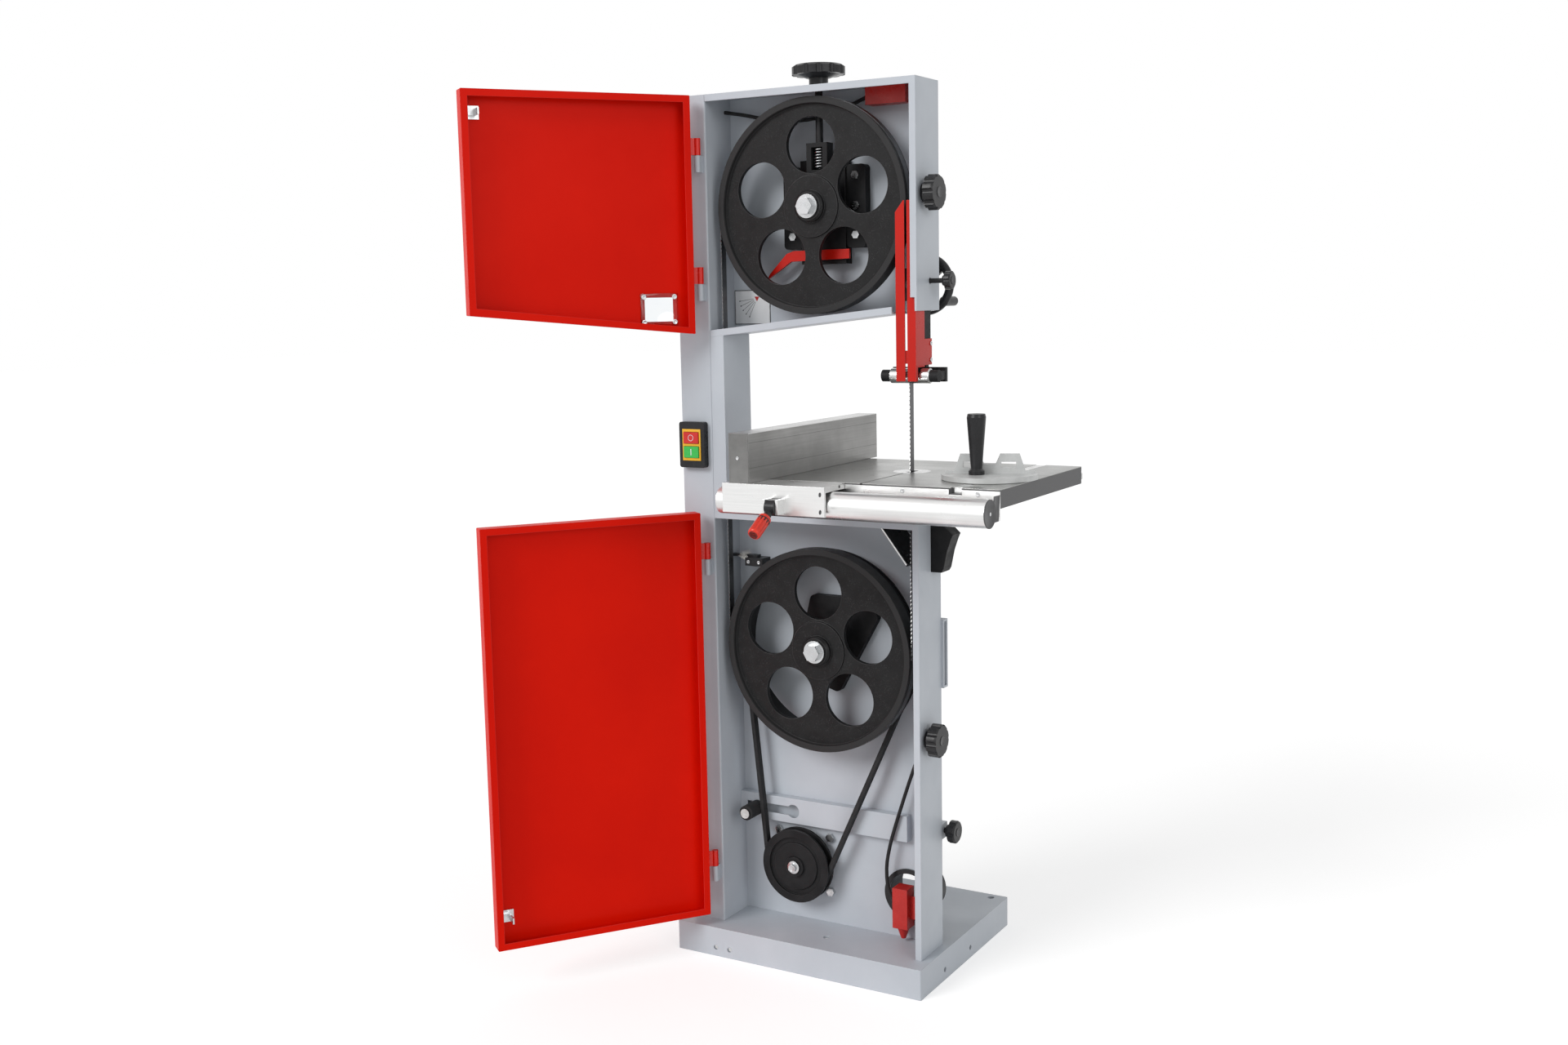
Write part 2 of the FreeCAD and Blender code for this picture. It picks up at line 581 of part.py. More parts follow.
def fluted_knob(axis, x, y, z, radius, deep, count):
    flute = f"{radius} * 0.2"
    body = turned(axis, x, y, z,
                  [("0", "0"), (f"{radius} * 0.55", "0"), (f"{radius} * 0.6", f"{deep} * 0.25"),
                   (radius, f"{deep} * 0.35"), (radius, f"{deep} * 0.9"), (f"{radius} - 3", deep),
                   ("0", deep)])
    return ring_of_holes(body, f"{radius} + {flute} * 0.35", flute, count)


# ---- doors

UPPER_HINGES = ("upper_wheel_z + 104", "upper_wheel_z - 139")
LOWER_HINGES = ("roof_top - 93", "base_tall + 120")


def swing(item):
    """Turn a door that was drawn shut about its hinge line to where it stands open."""
    turn = FreeCAD.Rotation(FreeCAD.Vector(0, 0, 1), 1)
    place(item, "hinge_x * (1 - cos(door_open)) - hinge_y * sin(door_open)",
          "hinge_y * (1 - cos(door_open)) + hinge_x * sin(door_open)", "0", turn)
    item.setExpression("Placement.Rotation.Angle", linked("360 - door_open"))
    return item


def door_pan(low, rise, high):
    """Sheet pan with a return lip, drawn shut; its lower edge may climb to the right."""
    right = "door_left + door_wide"
    def frame(inset):
        return [(f"door_left + {inset}", f"{low} + {inset}"),
                (f"{right} - {inset}", f"{low} + {rise} + {inset}"),
                (f"{right} - {inset}", f"{high} - {inset}"), (f"door_left + {inset}", f"{high} - {inset}")]
    rim = "front_y - 1"
    whole = outline("XZ", frame("0"), "door_deep", y=rim, round_by=2)
    room = outline("XZ", frame("door_wall"), "door_deep - 2 * door_wall", y=f"{rim} - door_wall")
    mouth = outline("XZ", frame("lip"), "door_wall + 2", y=f"{rim} + 1")
    return whole, room, mouth


def hinge_halves(heights, upper_half, door_side):
    """Knuckles on the hinge line with a leaf to the door or to the column."""
    halves = []
    for height in heights:
        base = f"{height} + 0.3" if upper_half else f"{height} - 32"
        knuckle = rod("Z", "hinge_x", "hinge_y", base, "knuckle", "31.7")
        if door_side:
            leaf = box("hinge_x + 3", "hinge_y - 1", base, "door_left - hinge_x - 3", "3", "31.7")
        else:
            leaf = box("hinge_x - 3", "hinge_y + 3", base, "6", "front_y - hinge_y - 3", "31.7")
        halves.append(join(knuckle, leaf))
    return halves


def doors():
    window = box("door_left + 35", "-300", "upper_door_low + 25", "58", "200", "46")
    upper = cut(*door_pan("upper_door_low", "upper_door_rise", "upper_door_high"), window)
    lower = cut(*door_pan("lower_door_low", "0", "lower_door_high"))
    part("upper_door", swing(upper))
    part("lower_door", swing(lower))
    part("hinge_brackets", group(*hinge_halves((*UPPER_HINGES, *LOWER_HINGES), False, False)))
    for name, heights, z in (("upper_door_fittings", UPPER_HINGES, "upper_door_high - 40"),
                             ("lower_door_fittings", LOWER_HINGES, "lower_door_low + 60")):
        inner_face = "front_y - 1 - door_deep + door_wall"
        foot = box("door_left + door_wide - 38", inner_face, f"{z} - 12", "26", "3", "24")
        tongue = box("door_left + door_wide - 31", inner_face, f"{z} - 6", "3", "door_deep + 8", "12")
        bridge = box("door_left + door_wide - 31", inner_face, f"{z} - 6", "14", "8", "12")
        part(name, swing(group(join(foot, tongue, bridge), *hinge_halves(heights, True, True))))


def door_knobs():
    for name, z in (("upper_door_knob", "upper_knob_z"), ("lower_door_knob", "lower_knob_z")):
        handle = fluted_knob("X", "body_right + 1", "knob_y", z, "knob_radius", "knob_deep", 10)
        stud = rod("X", "body_right - 4", "knob_y", z, "5", "10")
        part(name, join(handle, stud))


# ---- guard and guides

def blade_guard():
    high = "guard_high - guard_low"
    left = cut(box("guard_left", "guard_front", "guard_low", "18", "6", high),
               box("guard_left + 2", "guard_front + 2", "guard_low - 1", "20", "6", f"{high} + 2"),
               outline("XZ", [("guard_left - 1", "guard_high - 22"), ("guard_left + 17", "guard_high + 1"),
                              ("guard_left - 1", "guard_high + 1")], "20", y="guard_front + 10"))
    right = cut(box("guard_right - 17", "guard_front", "guard_low", "17", "37", high),
                box("guard_right - 18", "guard_front + 2", "guard_low - 1", "16", "40", f"{high} + 2"),
                box("guard_right - 4", "guard_front + 8", "guide_z - guide_radius - 2", "8", "40",
                    "2 * guide_radius + 4"))
    bridge = box("guard_left + 2", "guard_front + 2", "guard_low + 32", "guard_right - guard_left - 4", "3",
                 "24")
    cheek = box("guard_right - 2", "guard_front + 36", "guide_z + 19", "2", "32", "48")
    part("blade_guard", join(left, right, bridge, cheek))


def guide_bracket():
    bar = box("post_left", "guard_front + 7", "guide_z + 20", "post_wide", "62", "rise_z + 134 - guide_z")
    foot = box("guard_left + 2", "-112", "guide_z + 14", "guard_right - guard_left - 8", "12", "20")
    yoke = box("blade_x - 54", "-108", "guide_z - 12", "108", "8", "26.5")
    knobs = [join(rod("X", x, "insert_y", "guide_z", "11", "16"),
                  box(x, "insert_y", "guide_z - 8", "12", "36", "16"))
             for x in ("blade_x - 57", "blade_x + 41")]
    pins = [rod("X", x, "insert_y", "guide_z", "5", length)
            for x, length in (("blade_x - 45", "42"), ("blade_x + 3", "40"))]
    thrust = rod("X", "blade_x - 5", "blade_y + blade_width + 11.5", "guide_z + 27", "11", "10")
    part("guide_bracket", join(bar, foot, yoke, *knobs, *pins, thrust))


def guide_rollers():
    for name, x in (("left_guide_roller", "blade_x - 40"),
                    ("right_guide_roller", "blade_x + blade_thick + face_gap")):
        part(name, turned("X", x, "insert_y", "guide_z",
                          [("5.05", "0"), ("12", "0"), ("guide_radius", "2"), ("guide_radius", "37.5"),
                           ("12", "39.5"), ("5.05", "39.5")]))


def guide_drive():
    bar_back = "guard_front + 7 + 62 + face_gap"
    block = join(box("post_left - 2", bar_back, "rise_z - 36", "post_wide + 3", f"panel_front - ({bar_back})",
                     "80"),
                 box("blade_x - 35", "-105", "rise_z - 30", "post_left - blade_x + 33", "panel_front + 105",
                     "60"))
    part("post_block", cut(block, rod("Y", "rise_x", "-106", "rise_z", "8.05", "30")))
    rim = doc.addObject("Part::Torus", "Rim")
    bind(rim, Radius1="rise_radius", Radius2="8")
    place(rim, "rise_x", "rise_y", "rise_z", TO_Y)
    hub = rod("Y", "rise_x", "rise_y - 14", "rise_z", "16", "24")
    shaft = rod("Y", "rise_x", "-104.5", "rise_z", "8", "rise_y + 96")
    spokes = []
    for k in range(3):
        spoke = box("-5", "-4", "10", "10", "8", "rise_radius - 14")
        turn = FreeCAD.Rotation(FreeCAD.Vector(0, 1, 0), 120 * k + 50)
        arm = group(spoke)
        spokes.append(place(arm, "rise_x", "rise_y", "rise_z", turn))
    grip = rod("Y", "rise_x + 38", "rise_y - 2", "rise_z - 32", "9", "46")
    part("guide_handwheel", join(rim, hub, shaft, *spokes, grip))
    knob = fluted_knob("X", "body_right + 27", "lock_y", "lock_z", "17", "18", 8)
    stud = rod("X", "post_left + post_wide + face_gap", "lock_y", "lock_z", "4.5",
               "body_right + 34 - post_left - post_wide")
    part("post_lock_knob", join(knob, stud))


# ---- table, fence and mitre gauge

def table():
    right, back = "table_right", "table_front + table_deep"
    low = "table_top_z - table_thick"
    slab = outline("XY", [("table_left", "table_front"), (right, "table_front"), (right, back),
                          ("table_left", back)], "table_thick", z=low, round_by=2)
    skirt, rib = "10", "trunnion_thick"
    rows = (("table_front + 10", "trunnion_front - table_front - 10"),
            (f"trunnion_front + {rib}", f"trunnion_back - trunnion_front - {rib}"),
            (f"trunnion_back + {rib}", f"{back} - trunnion_back - {rib} - 10"))
    columns = ((f"table_left + {skirt}", f"blade_x - 90 - table_left - {skirt}"), ("blade_x - 80", "166"),
               ("blade_x + 96", f"{right} - blade_x - 96 - {skirt}"))
    pockets = [box(x, y, f"{low} - 1", wide, deep, "table_thick - table_plate + 1")
               for y, deep in rows for x, wide in columns]
    mitre_slot = box("slot_x - slot_wide / 2", "table_front - 1", "table_top_z - slot_deep", "slot_wide",
                     "table_deep + 2", "slot_deep + 1")
    seat = rod("Z", "blade_x", "insert_y", "table_top_z - insert_thick", "insert_radius + face_gap", "10")
    opening = rod("Z", "blade_x", "insert_y", f"{low} - 1", "insert_radius - 5", "table_thick + 2")
    entry = box("blade_x - 1", "table_front - 1", f"{low} - 1", "4", "insert_y - table_front + 1",
                "table_thick + 2")
    part("table_top", cut(slab, *pockets, mitre_slot, seat, opening, entry))
    disc = rod("Z", "blade_x", "insert_y", "table_top_z - insert_thick", "insert_radius", "insert_thick")
    slit = box("blade_x - 2", "insert_y - 20", "table_top_z - 10", "10", "32", "20")
    part("table_insert", cut(disc, slit))
    segments = []
    for y in ("trunnion_front", "trunnion_back"):
        disc = rod("Y", "blade_x", y, "table_top_z", "trunnion_radius", "trunnion_thick")
        top = box("blade_x - 120", f"{y} - 1", low, "240", "trunnion_thick + 2", "160")
        segments.append(cut(disc, top))
    part("table_trunnions", group(*segments))


def trunnion_cradle():
    cradles = []
    for y in ("trunnion_front", "trunnion_back"):
        block = box("blade_x - 84", y, "roof_top", "108", "trunnion_thick", "40")
        seat = rod("Y", "blade_x", f"{y} - 1", "table_top_z", "trunnion_radius + face_gap",
                   "trunnion_thick + 2")
        cradles.append(cut(block, seat))
    foot_y = "trunnion_front + trunnion_thick"
    foot = box("blade_x - 84", foot_y, "roof_top", "48", f"trunnion_back - ({foot_y})", "6")
    corners = ((0, 98), (22, 98), (26, 91), (33, 58), (41, 35), (45, 26), (22, 5), (0, 3))
    side = outline("XZ", [(f"body_right + {out}", f"roof_top - {drop}") for out, drop in corners],
                   "36", y="panel_front - 4")
    part("trunnion_cradle", group(join(*cradles, foot), side))


def lower_guide():
    plate = cut(box("blade_x - 34", "-150", "roof_top", "64", "44", "5"),
                blade_slot("wheel_x + wheel_radius", "roof_top - 2", "20", "8"))
    ears = [box(x, "-120", "roof_top + 5", "6", "12", "22") for x in ("blade_x - 18", "blade_x + 16")]
    pads = [rod("X", x, "-130", "roof_top + 15", "8", length)
            for x, length in (("blade_x - 18", "18 - face_gap"),
                              ("blade_x + blade_thick + face_gap", "22 - blade_thick"))]
    part("lower_guide", join(plate, *ears, *pads))


def rails():
    long = "table_right - rail_left"
    tube = cut(rod("X", "rail_left", "rail_y", "rail_z", "rail_radius", long),
               rod("X", "rail_left - 1", "rail_y", "rail_z", "rail_radius - 4", f"{long} + 2"))
    strip = box("rail_left", "table_front - 4", "rail_z - 17", long, "4", "49")
    web = box("rail_left", "rail_y + 15", "rail_z - 17", long, "table_front - rail_y - 17", "6")
    rear = box("table_left", "table_front + table_deep", "table_top_z - 24", "table_wide", "6", "11")
    notch = box("slot_x - slot_wide / 2 - 2", "table_front - 5", "table_top_z - slot_deep - 2",
                "slot_wide + 4", "6", "20")
    part("table_rails", group(cut(join(tube, strip, web), notch), rear))


def fence():
    top, face = "rail_z + rail_radius + 2 * face_gap", "rail_y - rail_radius - 8"
    front_plate = box("carrier_left", face, "rail_z - 17", "carrier_wide", "6", "table_top_z - rail_z + 17")
    top_plate = box("carrier_left", face, top, "carrier_wide", "table_front - rail_y + rail_radius + 3",
                    f"table_top_z - ({top})")
    cheeks = [box(x, f"{face} - 24", "rail_z - 14", "5", "24", "26")
              for x in ("carrier_left + 96.6", "carrier_left + 122.4")]
    part("fence_carrier", join(front_plate, top_plate, *cheeks))
    low = "table_top_z + face_gap"
    body = outline("XZ", [("fence_left", "0"), ("fence_left + fence_wide", "0"),
                          ("fence_left + fence_wide", "fence_tall"), ("fence_left", "fence_tall")],
                   "fence_long", y="fence_front + fence_long", z=low)
    cells = [box("fence_left + 3", "fence_front - 1", f"{low} + {a}", "fence_wide - 6", "fence_long + 2",
                 tall)
             for a, tall in (("3", "24"), ("30", "28"), ("61", "24"))]
    part("fence_profile", cut(body, *cells))
    hub_y, hub_z = f"{face} - 15", "rail_z - 2"
    hub = rod("X", "carrier_left + 102", hub_y, hub_z, "14", "20")
    arm = taper("Z", "0", "0", "10", "6", "9", "28")
    grip = taper("Z", "0", "0", "37", "12", "8", "40")
    stick = group(join(arm, grip))
    place(stick, "carrier_left + 112", hub_y, hub_z, FreeCAD.Rotation(FreeCAD.Vector(1, 0, 0), 121))
    part("clamp_lever", join(hub, stick))


def mitre_gauge():
    top = "table_top_z"
    bar = box("slot_x - slot_wide / 2 + slot_gap", "mitre_y - 135", f"{top} - slot_deep + slot_gap",
              "slot_wide - 2 * slot_gap", "375", "slot_deep - 2 * slot_gap")
    part("mitre_bar", bar)
    disc = rod("Z", "0", "0", "0.5", "mitre_radius", "9")
    back = box("-mitre_radius - 5", "0", "-1", "2 * mitre_radius + 10", "mitre_radius + 5", "20")
    half = cut(disc, back)
    half_face = ((78, 0.5), (78, 14), (62, 14), (52, 44), (18, 44), (10, 26))
    plate = outline("XZ", [*half_face, *((-a, b) for a, b in reversed(half_face))], "9", y="9")
    slots = [box(x, "-5", "20", "26", "30", "10") for x in ("-46", "20")]
    head = cut(join(half, plate), *slots, rod("Z", "-22", "-18", "-2", "5.3", "30"))
    turn = FreeCAD.Rotation(FreeCAD.Vector(0, 0, 1), value("mitre_turn"))
    whole = place(group(head), "slot_x", "mitre_y", top, turn)
    whole.setExpression("Placement.Rotation.Angle", linked("mitre_turn"))
    part("mitre_head", whole)
    stud = rod("Z", "-22", "-18", "0.5", "5", "14")
    cone = turned("Z", "-22", "-18", "10",
                  [("0", "0"), ("14", "0"), ("14", "6"), ("10", "10"), ("17", "100"), ("15.5", "106"),
                   ("0", "107")])
    handle = place(group(join(stud, cone)), "slot_x", "mitre_y", top, turn)
    handle.setExpression("Placement.Rotation.Angle", linked("mitre_turn"))
    part("mitre_handle", handle)


# ---- switches, leads and small fittings

def switches():
    middle = "switch_left + switch_wide / 2"
    plate = outline("XZ", [("switch_left", "switch_low"), ("switch_left + switch_wide", "switch_low"),
                           ("switch_left + switch_wide", "switch_low + switch_tall"),
                           ("switch_left", "switch_low + switch_tall")],
                    "switch_deep", y="front_y", round_by=5)
    wells, buttons = [], []
    for name, z in (("start_button", "switch_low + 20"), ("stop_button", "switch_low + 48")):
        wells.append(box(f"{middle} - button_wide / 2 - button_gap", "front_y - switch_deep - 1",
                         f"{z} - button_gap", "button_wide + 2 * button_gap", "switch_deep - 1",
                         "button_tall + 2 * button_gap"))
        buttons.append((name, box(f"{middle} - button_wide / 2", "front_y - switch_deep - 4", z,
                                  "button_wide", "12", "button_tall")))
    part("switch_plate", cut(plate, *wells))
    for name, button in buttons:
        part(name, button)
    upper = box("body_right - 130.7", "-112", "body_top - 37", "82", "32", "34")
    left, low = "port_x - 19", "base_tall + 31"
    lower = join(box(left, "-117", low, "32", "32", "81"),
                 taper("Z", f"{left} + 16", "-101", f"{low} - 23", "5", "13", "23"),
                 box(f"{left} + 32", "-103", f"{low} + 19", "port_edge - sheet_wall - 13", "3", "46"))
    part("interlock_switches", group(upper, lower))


def lead(points, radius):
    """A round lead through hand-chosen points: straight runs joined by the largest arcs that fit."""
    spots = [FreeCAD.Vector(*point) for point in points]
    edges, at = [], spots[0]
    for before, corner, after in zip(spots, spots[1:], spots[2:]):
        arrive, leave = corner - before, after - corner
        half = arrive.getAngle(leave) / 2
        reach = 0.45 * min(arrive.Length, leave.Length)
        print("lead bend radius", round(reach / math.tan(half), 1))
        arrive.normalize()
        leave.normalize()
        start, end = corner - arrive * reach, corner + leave * reach
        inward = leave - arrive
        inward.normalize()
        sweep = reach / math.tan(half)
        middle = corner + inward * (sweep / math.cos(half) - sweep)
        edges.append(Part.LineSegment(at, start).toShape())
        edges.append(Part.Arc(start, middle, end).toShape())
        at = end
    edges.append(Part.LineSegment(at, spots[-1]).toShape())
    path = Part.Wire(edges)
    ring = Part.Wire([Part.Circle(spots[0], spots[1] - spots[0], radius).toShape()])
    solid = path.makePipeShell([ring], True, True)
    print("lead volume ratio", round(solid.Volume / (math.pi * radius ** 2 * path.Length), 4))
    return solid


def leads():
    upper = lead([(-187, -100, 1676), (-140, -98, 1668), (-85, -93, 1654), (-20, -90, 1650), (45, -91, 1655),
                  (90, -95, 1672), (126, -98, 1684)], 3.5)
    lower = lead([(226, -80, 470), (216, -98, 435), (199, -102, 385), (178, -104, 320), (160, -105, 262),
                  (149, -104, 212), (150, -102, 166), (168, -101, 132)], 3.5)
    item = doc.addObject("Part::Feature", "Leads")
    item.Shape = Part.makeCompound([upper, lower])
    part("interlock_leads", item)


def dust_port():
    ring = cut(rod("Y", "port_x", "panel_front + panel_thick", "port_z", "port_radius", "60"),
               rod("Y", "port_x", "panel_front", "port_z", "port_radius - 4", "70"))
    flange = cut(rod("Y", "port_x", "panel_front - 4", "port_z", "port_radius + 2", "4"),
                 rod("Y", "port_x", "panel_front - 5", "port_z", "port_radius - 7", "6"))
    part("dust_port", group(ring, flange))


def small_fittings():
    near = "wheel_x - (wheel_radius + brush_gap) * cos(brush_angle)"
    low = "lower_wheel_z + (wheel_radius + brush_gap) * sin(brush_angle)"
    stem = box("column_right", "-112", f"{low} + 16", f"{near} - 17 - column_right", "14", "5")
    block = box(f"{near} - 40", "-122", low, "40", "32", "16")
    deflector = outline("XZ", [("blade_x - 65", "roof_top - sheet_wall"),
                               ("blade_x - 61", "roof_top - sheet_wall"),
                               ("blade_x - 2", "roof_top - 79"), ("blade_x - 4", "roof_top - 84")],
                        "80", y="panel_front")
    part("chip_guards", group(join(stem, block), deflector))


base_plinth()
column()
blade_cover()
upper_shell()
upper_back_panel()
lower_shell()
lower_back_panel()
brace_channel()
axle_carrier()
wheel("lower_wheel", "lower_wheel_z")
wheel("upper_wheel", "upper_wheel_z")
drive_sheave()
belts()
motor_pulley()
motor()
panel_bolts()
lower_axle_bracket()
axle("lower_axle", "lower_wheel_z", "panel_front + panel_thick + 15")
axle("upper_axle", "upper_wheel_z", "panel_front - 4")
wheel_carriage()
release_lever()
tension_handwheel()
belt_tensioner()
doors()
door_knobs()
blade_guard()
guide_bracket()
guide_rollers()
guide_drive()
table()
trunnion_cradle()
lower_guide()
rails()
fence()
mitre_gauge()
switches()
leads()
dust_port()
small_fittings()
doc.recompute()

for item in doc.Objects:
    if "Invalid" in item.State or "Error" in item.State:
        raise RuntimeError(f"{item.Label} failed: {item.State}")
os.makedirs("parts", exist_ok=True)
for item in parts:
    if item.Shape.isNull() or not item.Shape.isValid():
        raise RuntimeError(f"{item.Label} has a bad shape")
for item in parts:
    item.Shape.exportStep(f"parts/{item.Label}.step")
print(len(parts), "parts")
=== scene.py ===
import json
import math
import bmesh
import bpy
from mathutils import Matrix, Vector


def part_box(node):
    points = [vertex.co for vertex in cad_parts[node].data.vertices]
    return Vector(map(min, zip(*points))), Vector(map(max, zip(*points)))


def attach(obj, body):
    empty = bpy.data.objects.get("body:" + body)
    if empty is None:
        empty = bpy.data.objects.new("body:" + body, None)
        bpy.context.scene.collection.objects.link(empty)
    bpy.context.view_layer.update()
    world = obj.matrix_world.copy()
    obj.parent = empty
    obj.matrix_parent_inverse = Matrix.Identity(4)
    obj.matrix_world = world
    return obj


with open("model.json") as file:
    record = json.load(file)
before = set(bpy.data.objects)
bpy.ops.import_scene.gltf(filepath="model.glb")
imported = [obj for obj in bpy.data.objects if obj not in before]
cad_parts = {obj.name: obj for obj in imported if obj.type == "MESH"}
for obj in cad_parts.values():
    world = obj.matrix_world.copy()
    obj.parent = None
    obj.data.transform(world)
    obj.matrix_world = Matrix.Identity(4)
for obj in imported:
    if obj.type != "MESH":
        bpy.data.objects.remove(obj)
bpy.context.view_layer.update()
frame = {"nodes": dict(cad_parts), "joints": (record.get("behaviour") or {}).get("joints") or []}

joints = {joint["name"]: joint for joint in frame["joints"]}
mm = 0.001
# the turn that lays a round piece's own Z along each axis
turnTo = {"X": (0, math.pi / 2, 0), "Y": (-math.pi / 2, 0, 0), "Z": (0, 0, 0)}
print("frame loaded", len(frame["nodes"]), "nodes")


# camera, floor and light

camera = {"place": (1.5356, -2.8418, 1.3242), "heading": 30.37, "dip": 7.99, "roll": -1.09, "lens": 37.3}
filmWidth = 36
light = {"dome": 0.5, "key": 1.65, "keyFrom": (-0.35, -0.8, 0.52), "fill": 0.5,
         "fillFrom": (0.85, -0.45, 0.3),
         "soft": 28, "floorSize": 60, "floorPlain": 0.88, "floorLit": 0.6, "floorGlow": 0.56}


def makeCamera():
    heading, dip, roll = (math.radians(camera[key]) for key in ("heading", "dip", "roll"))
    ahead = Vector((-math.sin(heading) * math.cos(dip), math.cos(heading) * math.cos(dip),
                    -math.sin(dip)))
    right = Vector((math.cos(heading), math.sin(heading), 0))
    up = right.cross(ahead)
    across = math.cos(roll) * right + math.sin(roll) * up
    upright = -math.sin(roll) * right + math.cos(roll) * up
    bpy.ops.object.camera_add(location=camera["place"])
    eye = bpy.context.object
    eye.rotation_euler = Matrix((across, upright, -ahead)).transposed().to_euler()
    eye.data.lens = camera["lens"]
    eye.data.sensor_width = filmWidth
    bpy.context.scene.camera = eye


def seenByEye(tree):
    # 1 for rays that look at the background: straight on, in metal and through glass
    path = tree.nodes.new("ShaderNodeLightPath")
    gloss = mathNode(tree, "MAXIMUM", path.outputs["Is Camera Ray"], path.outputs["Is Glossy Ray"])
    return mathNode(tree, "MAXIMUM", gloss, path.outputs["Is Transmission Ray"])


def mathNode(tree, operation, first, second=None):
    node = tree.nodes.new("ShaderNodeMath")
    node.operation = operation
    for socket, given in zip(node.inputs, (first, second)):
        if isinstance(given, (int, float)):
            socket.default_value = given
        elif given is not None:
            tree.links.new(given, socket)
    return node.outputs[0]


def makeStudio():
    world = bpy.data.worlds.new("studio")
    bpy.context.scene.world = world
    world.use_nodes = True
    tree = world.node_tree
    backdrop = tree.nodes["Background"]
    backdrop.inputs["Color"].default_value = (1, 1, 1, 1)
    level = mathNode(tree, "MULTIPLY_ADD", seenByEye(tree), 1 - light["dome"])
    level.node.inputs[2].default_value = light["dome"]
    tree.links.new(level, backdrop.inputs["Strength"])
    for name, strength, origin in (("keyLamp", light["key"], light["keyFrom"]),
                                   ("fillLamp", light["fill"], light["fillFrom"])):
        bpy.ops.object.light_add(type="SUN")
        lamp = bpy.context.object
        lamp.name = name
        lamp.data.energy = strength
        lamp.data.angle = math.radians(light["soft"])
        lamp.rotation_euler = Vector(origin).to_track_quat("Z", "Y").to_euler()
    bpy.ops.mesh.primitive_plane_add(size=light["floorSize"])
    floor = bpy.context.object
    floor.name = "floor"
    paint = bpy.data.materials.new("floorPaint")
    paint.use_nodes = True
    tree = paint.node_tree
    tree.nodes.clear()
    plain = tree.nodes.new("ShaderNodeBsdfDiffuse")
    plain.inputs["Color"].default_value = (*[light["floorPlain"]] * 3, 1)
    seen = tree.nodes.new("ShaderNodeBsdfDiffuse")
    seen.inputs["Color"].default_value = (*[light["floorLit"]] * 3, 1)
    glow = tree.nodes.new("ShaderNodeEmission")
    glow.inputs["Strength"].default_value = light["floorGlow"]
    both = tree.nodes.new("ShaderNodeAddShader")
    choice = tree.nodes.new("ShaderNodeMixShader")
    out = tree.nodes.new("ShaderNodeOutputMaterial")
    tree.links.new(seen.outputs[0], both.inputs[0])
    tree.links.new(glow.outputs[0], both.inputs[1])
    tree.links.new(seenByEye(tree), choice.inputs[0])
    tree.links.new(plain.outputs[0], choice.inputs[1])
    tree.links.new(both.outputs[0], choice.inputs[2])
    tree.links.new(choice.outputs[0], out.inputs["Surface"])
    floor.data.materials.append(paint)


bpy.context.scene.view_settings.view_transform = "Standard"
makeCamera()
makeStudio()
print("camera, floor and light made")


# finishes

